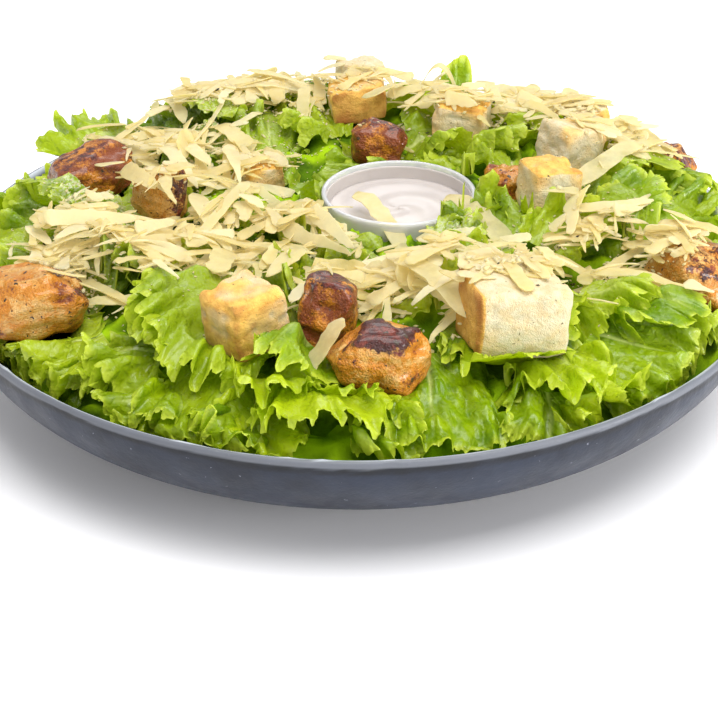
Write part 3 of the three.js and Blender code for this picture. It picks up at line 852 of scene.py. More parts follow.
def bowl_profile():
    """The bowl's outline from under its foot up the outside, over the lip and down inside."""
    top = RIM_HEIGHT - LIP_RADIUS
    angle = np.linspace(0, math.pi, 9)[1:-1]
    lip = np.stack([RIM_RADIUS - LIP_RADIUS + LIP_RADIUS * np.cos(angle),
                    top + LIP_RADIUS * np.sin(angle)], axis=1)
    foot_in = FOOT_RADIUS - FOOT_WIDTH
    return np.concatenate([
        [(0.01, FOOT_HEIGHT), (foot_in - 1, FOOT_HEIGHT), (foot_in, FOOT_HEIGHT), (foot_in, 0.4),
         (foot_in + 0.4, 0), (FOOT_RADIUS - 0.4, 0), (FOOT_RADIUS, 0.4)],
        wall_profile(RIM_RADIUS, FOOT_RADIUS, FOOT_HEIGHT, top, OUTER_WALL_STEPS)[::-1],
        lip,
        wall_profile(INNER_RADIUS, FOOT_RADIUS, INNER_FLOOR, top - LIP_RADIUS, INNER_WALL_STEPS),
        [(0.01, INNER_FLOOR)],
    ])


def lip_highlight_and_dark_line(points, wave):
    """Where a pale highlight is painted along the lip's top, and where a dark line runs under it.
    """
    rough_line = noise(points, 4.0, 8) * 0.5 + noise(points, 14.0, 9) * 0.5
    height = points[:, 2] - wave + rough_line * 0.25
    radius = np.hypot(points[:, 0], points[:, 1])
    # Painted highlight: a pale line along the top of the lip.
    line = smoothstep(RIM_HEIGHT - 1.2, RIM_HEIGHT - 0.6, height) * smoothstep(
        RIM_RADIUS - 0.9, RIM_RADIUS - 1.5, radius - rough_line * 0.3)
    band = smoothstep(RIM_HEIGHT - 2.2, RIM_HEIGHT - 1.6, height + rough_line * 0.4)
    outside = np.arange(len(points)) < len(points) * OUTSIDE_SHARE
    under = smoothstep(RIM_HEIGHT - 4.4, RIM_HEIGHT - 3.2, height + rough_line * 1.1)
    under *= 0.7 + 0.3 * smoothstep(-0.4, 0.4, noise(points, 2.5, 10))
    return {"lip": np.maximum(line, 0.25 * band), "under_lip": np.where(outside, under, 0.1)}


def make_bowl():
    """Stoneware bowl with a ring foot and an uneven, chipped lip."""
    points, faces = turned(bowl_profile(), BOWL_SIDES)
    upper = smoothstep(RIM_HEIGHT - 25, RIM_HEIGHT, points[:, 2])
    wave = noise(points * (1, 1, 0), 70.0, 3) * LIP_WAVE * upper
    points[:, 2] += wave
    near_lip = smoothstep(RIM_HEIGHT - 3.2, RIM_HEIGHT - 1.0, points[:, 2] - wave)
    chips = smoothstep(0.35, 0.75, noise(points, 5.0, 5)) * near_lip
    points[:, :2] *= (1 - chips * 0.0035)[:, None]
    make_piece("stoneware_bowl", points, faces, stoneware_material(), ["bowl"],
               lip_highlight_and_dark_line(points, wave))


def pot_side(grow, steps, drop=0.0):
    """Rounded side of the pot from its foot up to a drop below its rim."""
    angle = np.linspace(0, math.acos((drop / POT_DEPTH) ** (1 / POT_CURVE)), steps)
    curve = np.cos(angle).clip(0)
    radius = POT_FOOT + (POT_RADIUS - POT_FOOT) * np.sin(angle) + grow
    height = POT_RIM_HEIGHT - POT_DEPTH * curve ** POT_CURVE - grow * curve
    return np.stack([radius, height], axis=1)


def make_pot():
    """Glass pot with a rolled rim."""
    outside = pot_side(0, POT_STEPS)
    inside = pot_side(-POT_WALL, POT_STEPS)[::-1]
    angle = np.linspace(0, math.pi, 8)[1:-1]
    rim = np.stack([POT_RADIUS - POT_WALL / 2 * (1 - np.cos(angle)),
                    POT_RIM_HEIGHT + POT_RIM_ROUND * np.sin(angle)], axis=1)
    profile = np.concatenate([[(0.01, outside[0][1])], outside, rim, inside,
                              [(0.01, inside[-1][1])]])
    points, faces = turned(profile, POT_SIDES, (POT_X, POT_Y))
    make_piece("glass_pot", points, faces, glass_material(), ["pot"])


def make_dressing():
    """Dressing that reaches just into the glass, with a smear above it and a swirl on top."""
    side = pot_side(-POT_WALL + FILL_INTO_GLASS, FILL_STEPS, FILM_DROP)
    film = pot_side(-POT_WALL - FILM_THICKNESS, FILM_STEPS)
    film = film[(film[:, 1] > POT_RIM_HEIGHT - DRESSING_DROP + FILM_MARGIN)
                & (film[:, 1] < POT_RIM_HEIGHT - FILM_DROP - FILM_MARGIN)][::-1]
    edge_radius = pot_side(-POT_WALL, FILL_STEPS, DRESSING_DROP)[-1][0] - SURFACE_INSET
    level = POT_RIM_HEIGHT - DRESSING_DROP + SURFACE_LIFT
    rings = np.linspace(1, 0.001, SURFACE_RINGS)
    surface = np.stack([edge_radius * rings, np.full(len(rings), level)], axis=1)
    profile = np.concatenate([[(0.01, side[0][1])], side, film, surface])
    points, faces = turned(profile, POT_SIDES, (POT_X, POT_Y))
    x, y = points[:, 0] - POT_X, points[:, 1] - POT_Y
    radius = np.hypot(x, y)
    inner = smoothstep(edge_radius, edge_radius - 6, radius)
    swirl = SWIRL_HEIGHT * np.sin(radius * 0.55 + 2 * np.arctan2(y, x))
    swirl += noise(points, 9.0, 21) * 0.3
    on_top = np.abs(points[:, 2] - level) < 0.01
    edge = smoothstep(edge_radius - 2.5, edge_radius, radius)
    points[:, 2] += np.where(on_top, inner * swirl + edge * 0.5, 0)
    make_piece("dressing_fill", points, faces, dressing_material(), ["dressing"])


# Bread and chicken

def block_points(steps):
    """Points and faces of a cube from -1 to 1 with shared corners."""
    line = np.linspace(-1, 1, steps + 1)
    first, second = np.meshgrid(line, line)
    parts = []
    for axis in range(3):
        for side in (-1, 1):
            plane = [None, None, None]
            plane[axis] = np.full(first.size, side, float)
            plane[(axis + 1) % 3] = (first if side > 0 else second).ravel()
            plane[(axis + 2) % 3] = (second if side > 0 else first).ravel()
            parts.append((np.stack(plane, axis=1), grid_faces(steps + 1, steps + 1), {}))
    points, faces, _ = joined(parts)
    _, kept, shared = np.unique(np.round(points, 6), axis=0, return_index=True,
                                return_inverse=True)
    return points[kept], shared.reshape(-1)[faces]


def chunk_surface(place, seed, steps, rounding, wobble, corner):
    """An uneven rounded block in its own frame, the unit directions out of it, and its cube."""
    draw = seeded_draws(seed)
    phases = [draw() * 2 * math.pi for _ in range(5)]
    points, faces = block_points(steps)
    soft = (np.abs(points) ** corner).sum(axis=1) ** (1 / corner)
    x, y, z = points.T
    ball = np.stack([
        x * np.sqrt(1 - y * y / 2 - z * z / 2 + y * y * z * z / 3),
        y * np.sqrt(1 - z * z / 2 - x * x / 2 + z * z * x * x / 3),
        z * np.sqrt(1 - x * x / 2 - y * y / 2 + x * x * y * y / 3)], axis=1)
    shape = points / soft[:, None] * (1 - rounding) + ball * 1.1 * rounding
    swell = 1 + wobble * np.sin(2.1 * x + phases[0]) * np.sin(1.7 * y + phases[1])
    shape[:, 0] *= swell + wobble * np.sin(2.6 * z + phases[2])
    shape[:, 1] *= swell + wobble * np.sin(2.2 * x + phases[3])
    shape[:, 2] *= swell + wobble * np.sin(2.4 * y + phases[4])
    half = np.array(place["size"]) / 2
    outward = ball / np.linalg.norm(ball, axis=1)[:, None]
    return shape * half, faces, outward, points


def chunk_frame(place):
    """How a large piece is turned, and its middle."""
    middle = np.array(place["at"]) + (0, 0, RIM_HEIGHT)
    return rotation(place["turn"], -place["tip"]), middle


def settle_chunk(place, points):
    """Moves a block from its own frame to its place on the heap."""
    turn, middle = chunk_frame(place)
    return points @ turn.T + middle


def toward(directions, aim):
    """How far unit directions point toward an aim, from -1 to 1."""
    aim = np.array(aim, float)
    return directions @ (aim / np.linalg.norm(aim))


def make_croutons():
    """Toasted cubes of bread with an open crumb."""
    material = bread_material()
    for number, place in enumerate(CROUTONS):
        points, faces, outward, cube = chunk_surface(
            place, CROUTON_SEED + number, CROUTON_STEPS, rounding=0.14, wobble=0.035, corner=12)
        seed = CROUTON_GRAIN_SEED + number
        edge = smoothstep(1.7, 2.7, np.abs(cube).sum(axis=1))
        pores = smoothstep(0.3, 0.85, noise(points, 3.2, seed)) * 0.8
        chips = smoothstep(0.1, 0.8, noise(points, 5.0, seed + 20)) * edge * 1.4
        crumb = noise(points, 2.0, seed + 50) * 0.3 + noise(points, 8.0, seed + 70) * 0.6
        sides = np.abs(cube) ** 8 * np.sign(cube)
        toasted = toward(sides / np.linalg.norm(sides, axis=1)[:, None], place["toast_to"])
        crust = place.get("crust", USUAL_CRUST) * smoothstep(0.45, 0.8, toasted)
        toast = (place["toast"] + 0.2 * edge + crust
                 + 0.22 * noise(points, 6.0, seed + 90) - 0.25 * pores)
        points = points + outward * (crumb - pores - chips)[:, None]
        points = settle_chunk(place, points)
        make_piece(f"bread_cube_{number + 1}", points, faces, material,
                   [f"crouton_{number + 1}"], {"toast": toast})


def knife_cuts(points, seed, count):
    """Flattens a lump where a few seeded cuts went through it."""
    draw = seeded_draws(seed)
    for _ in range(count):
        way = np.array([2 * draw() - 1, 2 * draw() - 1, 1.6 * draw() - 0.4])
        way /= np.linalg.norm(way)
        depth = points @ way
        over = np.clip(depth - (0.66 + 0.2 * draw()) * depth.max(), 0, None)
        points = points - over[:, None] * way * 0.85
    return points


def make_chicken():
    """Grilled chunks with a fibrous cut, brown edges and charred ridges."""
    material = chicken_material()
    for number, place in enumerate(CHICKEN):
        points, faces, outward, cube = chunk_surface(
            place, CHICKEN_SEED + number, CHICKEN_STEPS, rounding=0.45, wobble=0.08, corner=7)
        seed = CHICKEN_GRAIN_SEED + number
        points = knife_cuts(points, KNIFE_SEED + number, KNIFE_CUTS)
        fibre = noise(points * (0.22, 1, 1), 1.8, seed) * 0.45
        lumps = noise(points, 7.5, seed + 20) * 1.1 + noise(points, 3.2, seed + 30) * 0.5
        split = smoothstep(0.3, 0.75, noise(points * (0.4, 1, 1), 4.5, seed + 50)) * 1.5
        edge = smoothstep(1.6, 2.5, np.abs(cube).sum(axis=1))
        uneven = noise(points, 4.0, seed + 60) * 0.6 + noise(points, 1.6, seed + 80) * 0.3
        aimed = toward(outward, place["char_to"]) + 0.3 * uneven
        char = place["char"] * smoothstep(0.62, 0.9, aimed)
        char += 0.3 * place["char"] * smoothstep(0.2, 0.8, uneven + edge * 0.5)
        brown = place["brown"] + 0.35 * edge + 0.45 * uneven + 0.25 * split - 0.1
        points = points + outward * (fibre + lumps - split + 0.7 * char)[:, None]
        points = settle_chunk(place, points)
        make_piece(f"chicken_chunk_{number + 1}", points, faces, material,
                   [f"chicken_{number + 1}"], {"char": char, "brown": brown})


# Heap and leaves

def heap_height(x, y):
    """Height of the finished heap over points."""
    radius = np.hypot(x, y - HEAP_SHIFT)
    out = np.clip((radius - HEAP_FLAT_RADIUS) / (HEAP_EDGE_RADIUS - HEAP_FLAT_RADIUS), 0, 1)
    fall = out ** HEAP_FALL
    crown = HEAP_CROWN + HEAP_REAR_RISE * np.maximum(y, 0)
    return RIM_HEIGHT + crown + (HEAP_EDGE - crown) * fall


def wall_radius(height):
    """Radius of the bowl's inside at heights."""
    drop = np.clip((RIM_HEIGHT - height) / (RIM_HEIGHT - INNER_FLOOR), 0, 1)
    return FOOT_RADIUS + (INNER_RADIUS - FOOT_RADIUS) * (1 - drop ** WALL_CURVE) ** (1 / WALL_CURVE)


def draw_rows(rows, draw):
    """The leaves of some rows, each with its base, heading, angles, length and phases."""
    def spread(amount):
        return amount * (2 * draw() - 1)
    leaves = []
    for number, row in enumerate(rows):
        for i in range(row["count"]):
            turn = (i + number / 2 + spread(LEAF_STRAY["turn"])) / row["count"] * 360
            radius = row["radius"] + spread(LEAF_STRAY["radius"])
            middle = row.get("middle", (0, 0))
            x = middle[0] + radius * math.cos(math.radians(turn))
            y = middle[1] + radius * math.sin(math.radians(turn))
            lift = float(heap_height(x, y)) - RIM_HEIGHT + row["lift"] + spread(LEAF_STRAY["lift"])
            lift -= row.get("sink", 0) * max(0, math.cos(math.radians(turn - SINK_TOWARD)))
            leaves.append(dict(
                at=(x, y, lift),
                heading=turn + spread(row["spread"]),
                pitch=(row["pitch"] + spread(LEAF_STRAY["pitch"])
                       - REAR_FLATTER * max(0, math.sin(math.radians(turn)))),
                roll=spread(LEAF_STRAY["roll"]),
                length=row["length"] * (1 + spread(LEAF_STRAY["length"])),
                phases=[draw() * 2 * math.pi for _ in range(3)],
                over=False))
    return leaves


def on_bare_rim(place):
    """Whether a leaf's base is where the bowl's rim stays bare."""
    turn = math.degrees(math.atan2(place[1], place[0]))
    return (math.hypot(*place[:2]) > BARE_RIM_RADIUS
            and BARE_RIM[0] < turn < BARE_RIM[1])


def draw_leaves():
    """The rows of leaves, then those that stand out, then the fill leaves."""
    draw = seeded_draws(LEAF_SEED)
    rows = draw_rows(LEAF_ROWS, draw)
    leaves = []
    for leaf in SHOW_LEAVES:
        roll = 10 * (2 * draw() - 1)
        leaves.append(dict(leaf, roll=roll, phases=[draw() * 2 * math.pi for _ in range(3)]))
    open_to_view = []
    for leaf in SHOW_LEAVES:
        if leaf["length"] > CLEAR_LENGTH:
            ahead = rotation(leaf["heading"])[:2, 0] * leaf["length"]
            open_to_view += [np.array(leaf["at"][:2]) + share * ahead for share in (0.1, 0.55)]
    others = [leaf for leaf in rows + draw_rows(FILL_ROWS, draw)
              if all(math.dist(leaf["at"][:2], place[:2]) > CLEAR_REACH for place in open_to_view)]
    return [leaf for leaf in leaves + others if leaf["over"] or not on_bare_rim(leaf["at"])]


def fan_faces(counts):
    """Triangles between rings of columns, each ring with as many as the last or twice that."""
    faces = []
    start = 0
    for inner, outer in zip(counts, counts[1:]):
        near = start + np.arange(inner)
        far = start + inner + 1
        if outer == inner:
            above = far + np.arange(inner)
            faces.append(np.stack([near, near + 1, above + 1], axis=1))
            faces.append(np.stack([near, above + 1, above], axis=1))
        else:
            above = far + 2 * np.arange(inner)
            faces.append(np.stack([near, near + 1, above + 1], axis=1))
            faces.append(np.stack([near, above + 1, above], axis=1))
            faces.append(np.stack([near + 1, above + 2, above + 1], axis=1))
        start = far
    return np.concatenate(faces)


def leaf_rings(length):
    """Angle and share of the reach for each point of a leaf, and its triangles."""
    full = 4 * round(LEAF_COLUMNS_PER_MM * length / 4)
    share = np.linspace(0, 1, LEAF_RINGS + 1)
    counts = [full // 4 if s < 0.3 else full // 2 if s < 0.6 else full for s in share]
    angle = [np.linspace(-0.5, 0.5, count + 1) * LEAF_FAN for count in counts]
    out = [np.full(count + 1, 1 - (1 - s) ** 1.5) for count, s in zip(counts, share)]
    return np.concatenate(angle), np.concatenate(out), fan_faces(counts)


def leaf_veins(x, y, length, out):
    """How much of a vein lies at each point: a midrib and branches off it."""
    vein = np.exp(-(y / (RIB_WIDTH * (1.25 - out))) ** 2) * (1.1 - out)
    for root in np.arange(-0.3, 0.8, 0.15) * length:
        across = np.abs(np.abs(y) - BRANCH_SLOPE * (x - root)) * 0.8
        vein = np.maximum(vein, np.exp(-(across / BRANCH_WIDTH) ** 2) * 0.65 * (1.05 - out))
    return vein.clip(0, 1)


def leaf_tears(flat, uneven, inward, phase, seed):
    """How far torn cuts and fine teeth bring each point in from the margin."""
    along = flat[:, 0]
    cuts = (0.5 + 0.5 * np.cos(along / CUTS_APART + 2 * uneven + phase)) ** 6
    cuts *= 1 + noise(flat, 8.0, seed + 3)
    teeth = (0.5 + 0.5 * np.cos(along * 2 * math.pi / TEETH_APART + 2 * uneven)) ** 2
    return (CUT_DEPTH * cuts * smoothstep(9.0, 0.0, inward)
            + TOOTH_DEPTH * teeth * smoothstep(3.0, 0.0, inward))


def leaf_frills(along, uneven, inward, phases, calm):
    """How far the frills of every size move each point along the margin and up."""
    sway, rise = np.zeros(len(along)), np.zeros(len(along))
    for number, frill in enumerate(FRILLS):
        wave_number = 2 * math.pi / frill["apart"]
        drift = (1.4 - 0.3 * number) * np.sin(along / (7.0 - 2 * number) + phases[1])
        at = (wave_number * along + drift + (1.5 + 1.3 * number) * uneven
              + phases[number] * 2 + 0.05 * inward)
        inner = smoothstep(frill["depth"], 0.0, inward) ** 1.2
        strength = inner * (0.9 + 0.7 * uneven) * calm
        sway -= frill["fold"] / wave_number * strength * np.sin(2 * at)
        rise += frill["height"] * strength * np.sin(at)
    return sway, rise


def leaf_blisters(x, y, out, seed):
    """Height of the puffs between a leaf's veins."""
    puffs = np.stack([x, y, np.full(len(x), seed * 5.1)], axis=1)
    return (np.abs(noise(puffs, 4.2, seed + 9)) * 1.3 + np.abs(noise(puffs, 8.0, seed + 11)) * 2.0
            + noise(puffs, 2.4, seed + 12) * 0.15) * smoothstep(0.0, 0.25, out)


def leaf_sheet(leaf, seed):
    """Points, stored values and triangles of a torn, frilled leaf in its own frame."""
    length = leaf["length"]
    angle, out, faces = leaf_rings(length)
    lobes, waves, frills = leaf["phases"]
    setback = LEAF_SETBACK * length
    side = angle / (LEAF_FAN / 2)
    outline = 0.34 + 0.66 * np.cos(side * math.pi / 2).clip(0) ** 0.7
    outline *= 1 + 0.08 * np.sin(5 * side + lobes)
    along = angle * MARGIN_PER_LENGTH * length
    flat = np.stack([along, out * length, np.full(len(out), seed * 7.3)], axis=1)
    uneven = noise(flat, 11.0, seed)
    inward = length * outline * (1 - out)
    notch = leaf_tears(flat, uneven, inward, waves, seed)
    reach = setback + length * outline * out - notch * leaf.get("torn", 1.0)
    sway, rise = leaf_frills(along, uneven, inward, leaf["phases"], leaf.get("calm", 1.0))
    x = reach * np.cos(angle) - sway * np.sin(angle) - setback
    y = (reach * np.sin(angle) + sway * np.cos(angle)) * leaf.get("slim", 1.0)
    vein = leaf_veins(out * length * outline, along * 0.55, length, out)
    blister = leaf_blisters(x, y, out, seed) * leaf.get("puffed", 1.0)
    keel = leaf.get("keel", 0.45 * math.sin(7 * seed + lobes))
    dome = leaf.get("dome", 0.25 * math.sin(3 * seed + waves))
    curl = leaf.get("curl", 0.5 * math.sin(5 * seed + frills))
    z = (rise + blister * (1 - 0.8 * vein) - 0.4 * vein
         + keel * (np.sqrt(y * y + 9) - 3) - dome * y * y / length
         + length * (curl * np.clip(out - 0.55, 0, None) ** 2 - 0.12 * out ** 2))
    values = {"margin": np.clip(1 - inward / 6, 0, 1), "vein": vein}
    return np.stack([x, y, z], axis=1), values, faces


def crowded(points, over):
    """Crowds points up inside the bowl's wall or, for a leaf over the rim, lifts them over it."""
    radius = np.hypot(points[:, 0], points[:, 1])
    limit = np.full(len(points), RIM_RADIUS + OVERHANG) if over else (
        wall_radius(points[:, 2] - 0.9) - LEAF_CLEARANCE)
    start = limit - LEAF_CROWD
    kept = limit - LEAF_CROWD * np.exp(-np.clip(radius - start, 0, None) / LEAF_CROWD)
    share = np.where(radius > start, kept / np.maximum(radius, 1e-6), 1.0)
    points[:, :2] *= share[:, None]
    if over:
        radius = np.hypot(points[:, 0], points[:, 1])
        lift = smoothstep(RIM_RADIUS - 9, RIM_RADIUS - 3, radius)
        floor = RIM_HEIGHT + OVER_RIM_GAP
        points[:, 2] = np.where(points[:, 2] < floor,
                                points[:, 2] + lift * (floor - points[:, 2]), points[:, 2])
    return points


def under_chunks(points):
    """Presses points that would cover a large piece down under it, and lowers those beside."""
    for place in CROUTONS + CHICKEN:
        turn, middle = chunk_frame(place)
        half = np.array(place["size"]) / 2 + CHUNK_GAP
        near = np.hypot(*(points[:, :2] - middle[:2]).T) < half.max() * 1.6
        if not near.any():
            continue
        local = (points[near] - middle) @ turn
        beside = ((np.abs(local[:, :2]) / half[:2]) ** 6).sum(axis=1) ** (1 / 6)
        pressed = points[near, 2]
        bottom = middle[2] - half[2] - CHUNK_UNDER_GAP
        share = 1 - smoothstep(0.78, 0.95, beside)
        pressed = np.where(pressed > bottom, pressed + share * (bottom - pressed), pressed)
        waist = (middle[2] - WAIST_SHARE * half[2]
                 + SLOPE_BESIDE * np.clip(beside - SLOPE_START, 0, None))
        points[near, 2] = np.where(pressed > waist, waist + 0.25 * (pressed - waist), pressed)
    return points


def under_ceiling(height, ceiling):
    """Heights eased down where they rise past a ceiling."""
    return height - CEILING_PRESS * np.clip(height - ceiling, 0, None)


def under_pot(points):
    """Lowers points that are inside the pot to just under its outer side."""
    radius = np.hypot(points[:, 0] - POT_X, points[:, 1] - POT_Y)
    reach = POT_RADIUS + POT_SIDE_GAP
    slope = np.clip((radius - POT_FOOT) / (reach - POT_FOOT), 0, 1)
    below = POT_RIM_HEIGHT - POT_DEPTH * np.sqrt(1 - slope ** 2) ** POT_CURVE - POT_UNDER_GAP
    inside = (radius < reach) & (points[:, 2] > below)
    points[:, 2] = np.where(inside, below, points[:, 2])
    return points


def dust_on(points):
    """How much fine grated cheese has fallen on each point, from 0 to 1."""
    total = np.zeros(len(points))
    for area in DUSTINGS:
        away = (points[:, :2] - area["at"]) / area["spread"]
        total += area["dust"] * np.exp(-0.6 * (away ** 2).sum(axis=1))
    return np.clip(total, 0, 0.85)


def make_leaves():
    """All leaves, joined into a few pieces; returns their meshes for things to lie on."""
    draw = seeded_draws(TONE_SEED)
    parts = []
    for number, leaf in enumerate(draw_leaves()):
        points, values, faces = leaf_sheet(leaf, number + 1)
        turn = rotation(leaf["heading"], leaf["pitch"], leaf["roll"])
        points = points @ turn.T + np.array(leaf["at"]) + (0, 0, RIM_HEIGHT)
        x, y = points[:, 0], points[:, 1]
        ceiling = heap_height(x, y) + leaf.get("rise", LEAF_CEILING)
        ceiling -= REAR_CEILING_FALL * np.maximum(y, 0)
        points[:, 2] = under_ceiling(points[:, 2], ceiling)
        points = under_pot(under_chunks(crowded(points, leaf["over"])))
        values["tone"] = np.full(len(points), leaf.get("tone", draw() ** 1.4))
        values["dust"] = dust_on(points)
        parts.append((points, faces, values))
    material = leaf_material()
    for start in range(0, len(parts), LEAVES_PER_PIECE):
        points, faces, values = joined(parts[start:start + LEAVES_PER_PIECE])
        make_piece(f"lettuce_leaves_{start // LEAVES_PER_PIECE + 1}", points, faces, material,
                   ["salad"] if start == 0 else [], values)
    return [part[:2] for part in parts]


def make_core():
    """Crumpled inner mass of the heap, which follows the bowl below."""
    rings = np.linspace(0.001, 1, CORE_RINGS) * CORE_RADIUS
    over = np.stack([rings, np.full(len(rings), RIM_HEIGHT)], axis=1)
    floor = INNER_FLOOR + CORE_FLOOR_GAP
    under = wall_profile(INNER_RADIUS - CORE_WALL_GAP, FOOT_RADIUS - 1, floor,
                         RIM_HEIGHT + CORE_WALL_TOP, CORE_WALL_STEPS)
    under = under[under[:, 0] < CORE_RADIUS]
    profile = np.concatenate([over, under, [(0.01, floor)]])[::-1]
    points, faces = turned(profile, CORE_SIDES)
    top = points[:, 2] > RIM_HEIGHT - 0.01
    x, y = points[:, 0], points[:, 1]
    out = np.hypot(x, y) / HEAP_EDGE_RADIUS
    drop = CORE_DROP + CORE_EDGE_DROP * out ** 3
    flat = points * (1, 1, 0)
    wide, narrow = np.abs(noise(flat, 11.0, 61)), np.abs(noise(flat, 5.0, 62))
    folds = CORE_WIDE_FOLD * (0.4 - wide) + CORE_NARROW_FOLD * (0.4 - narrow)
    crest = np.maximum(smoothstep(0.22, 0.0, wide), 0.8 * smoothstep(0.16, 0.0, narrow))
    points[:, 2] = np.where(top, heap_height(x, y) - drop + folds, points[:, 2])
    points = under_pot(under_chunks(points))
    make_piece("lettuce_core", points, faces, core_material(), [], {"crest": crest})
    return points, faces


# Cheese and seasoning

class Skyline:
    """Heights of what is already lying in the bowl, on a one-millimetre grid."""

    HALF = 140
    SKY = 200

    def __init__(self, meshes):
        points, faces = [], []
        for mesh_points, mesh_faces in meshes:
            faces += (np.asarray(mesh_faces) + len(points)).tolist()
            points += mesh_points.tolist()
        tree = BVHTree.FromPolygons(points, faces)
        span = range(-self.HALF, self.HALF + 1)
        down = Vector((0, 0, -1))
        self.height = np.full((len(span), len(span)), INNER_FLOOR)
        for i, x in enumerate(span):
            for k, y in enumerate(span):
                hit = tree.ray_cast(Vector((x, y, self.SKY)), down)[0]
                if hit is not None:
                    self.height[i, k] = hit.z

    def cell(self, x, y):
        """The grid's nearest cells."""
        i = np.clip(np.round(x).astype(int) + self.HALF, 0, 2 * self.HALF)
        k = np.clip(np.round(y).astype(int) + self.HALF, 0, 2 * self.HALF)
        return i, k

    def at(self, x, y):
        """Heights at points."""
        return self.height[self.cell(x, y)]

    def raise_to(self, x, y, z):
        """Raises the cells at points that are lower than z."""
        i, k = self.cell(x, y)
        np.maximum.at(self.height, (i, k), z)


def strip_mesh(line, side, left, right, thickness, tone, thin):
    """A thin strip along a line, reaching left and right of it along a side direction."""
    steps = len(line)
    up = np.cross(np.gradient(line, axis=0), side)
    up /= np.linalg.norm(up, axis=1)[:, None]
    lanes = [(-left, -1), (0 * left, -1), (right, -1), (right, 1), (0 * left, 1), (-left, 1)]
    corners = [line + reach[:, None] * side + level * thickness / 2 * up
               for reach, level in lanes]
    points = np.stack(corners, axis=1).reshape(-1, 3)
    last = (steps - 1) * STRIP_LANES
    caps = np.array([[5, 4, 1, 0], [4, 3, 2, 1],
                     [last, last + 1, last + 4, last + 5],
                     [last + 1, last + 2, last + 3, last + 4]])
    faces = np.concatenate([grid_faces(STRIP_LANES, steps, wrap=True), caps])
    values = {"tone": np.full(len(points), tone), "thin": np.full(len(points), thin)}
    return points, faces, values


def crease_strips(piece):
    """Marks the cut edges of strips as sharp."""
    edges = np.array([edge.vertices for edge in piece.data.edges])
    lane = edges % STRIP_LANES
    cut = (lane[:, 0] == lane[:, 1]) & ~np.isin(lane[:, 0], MIDDLE_LANES)
    piece.data.edges.foreach_set("use_edge_sharp", cut)


def shard_sides(along, width, draw, wedges):
    """Half widths to the left and right of a strip or, for a share of them, of a wedge."""
    wedge = draw() < wedges
    sides = []
    for _ in range(2):
        cuts = 1.0
        for end in (1 - along, 1 + along):
            cuts = cuts * np.clip(end / (0.04 + 0.6 * draw() ** 3) + 0.7 * draw(), 0.06, 1)
        taper = 0.12 * draw() + wedge * (0.45 + 0.42 * draw())
        torn = np.stack([along * 10, 0 * along, np.full(len(along), 99 * draw())], axis=1)
        sides.append(width / 2 * cuts * (1 - taper * (along + 1) / 2)
                     * (1 + 0.2 * noise(torn, 1.6, 1)))
    return sides


def lay_shaving(skyline, x, y, length, width, draw, heading=None):
    """A shaving draped over what lies under it, which then lies under the next."""
    on_top = heading is not None
    turn = math.radians(heading) if on_top else draw() * 2 * math.pi
    steps = min(SHAVING_STEPS, 5 + int(length / 4))
    along = np.linspace(-1, 1, steps + 1)
    ahead = np.array([math.cos(turn), math.sin(turn)])
    beside = np.array([-ahead[1], ahead[0]])
    bow = (draw() - 0.5) * (TOP_BOW if on_top else STREWN_BOW)
    while True:
        flat = (np.array([x, y]) + along[:, None] * ahead * length / 2
                + ((1 - along ** 2) * bow * length)[:, None] * beside)
        under = skyline.at(*flat.T)
        if under.max() - under.min() < STRIP_DROP or length < SHORTEST_STRIP:
            break
        length *= 0.8
    left, right = shard_sides(along, width, draw, 1.0 if on_top else WEDGE_SHARE)
    tracks = [(flat + beside * reach[:, None]).T for reach in (-0.8 * left, 0 * left, 0.8 * right)]
    supports = np.stack([skyline.at(*track) for track in tracks]).max(axis=0)
    gap = np.abs(along[:, None] - along) * length / 2
    stiff = between(STIFFNESS, draw()) * (TOP_STIFFNESS_SHARE if on_top else 1.0)
    rest = (supports[None, :] - stiff * gap ** 2).max(axis=1)
    lean = (draw() - 0.5) * 0.5 + (draw() > 0.88) * 0.8
    twist = lean + (draw() - 0.5) * 0.6 * along
    curl = (draw() - 0.45) * 0.08 * length
    lifted = np.maximum(curl * (along ** 2 - 0.25), 0) * (along * (draw() - 0.5) > -0.2)
    lift = TOP_LIFT if on_top else STRIP_LIFT
    rest = rest + lift + lifted + 0.25 * width * np.abs(np.sin(twist))
    rest = under_ceiling(rest, RIM_HEIGHT + SHAVING_CEILING)
    side = np.concatenate([beside[None, :] * np.cos(twist)[:, None],
                           np.sin(twist)[:, None]], axis=1)
    line = np.concatenate([flat, rest[:, None]], axis=1)
    for track in tracks:
        skyline.raise_to(*track, np.minimum(rest, skyline.at(*track) + STRIP_SETTLE))
    tone, thin = draw() ** 1.5, draw()
    if on_top:
        tone, thin = 0.5 + 0.5 * tone, 0.6 * thin
    return strip_mesh(line, side, left, right, STRIP_THICKNESS, tone, thin)


def leaning_shaving(strip, draw):
    """A shaving that bows from one place to another."""
    along = np.linspace(-1, 1, SHAVING_STEPS + 1)
    start = np.array(strip["start"]) + (0, 0, RIM_HEIGHT)
    end = np.array(strip["end"]) + (0, 0, RIM_HEIGHT)
    line = start + (along[:, None] + 1) / 2 * (end - start)
    line[:, 2] += strip["bow"] * (1 - along ** 2)
    ahead = (end - start)[:2] / np.linalg.norm((end - start)[:2])
    side = np.tile([-ahead[1], ahead[0], 0.12], (len(along), 1))
    side /= np.linalg.norm(side, axis=1)[:, None]
    left, right = shard_sides(along, strip["width"], draw, 0)
    return strip_mesh(line, side, left, right, STRIP_THICKNESS, 0.4, strip["thin"])


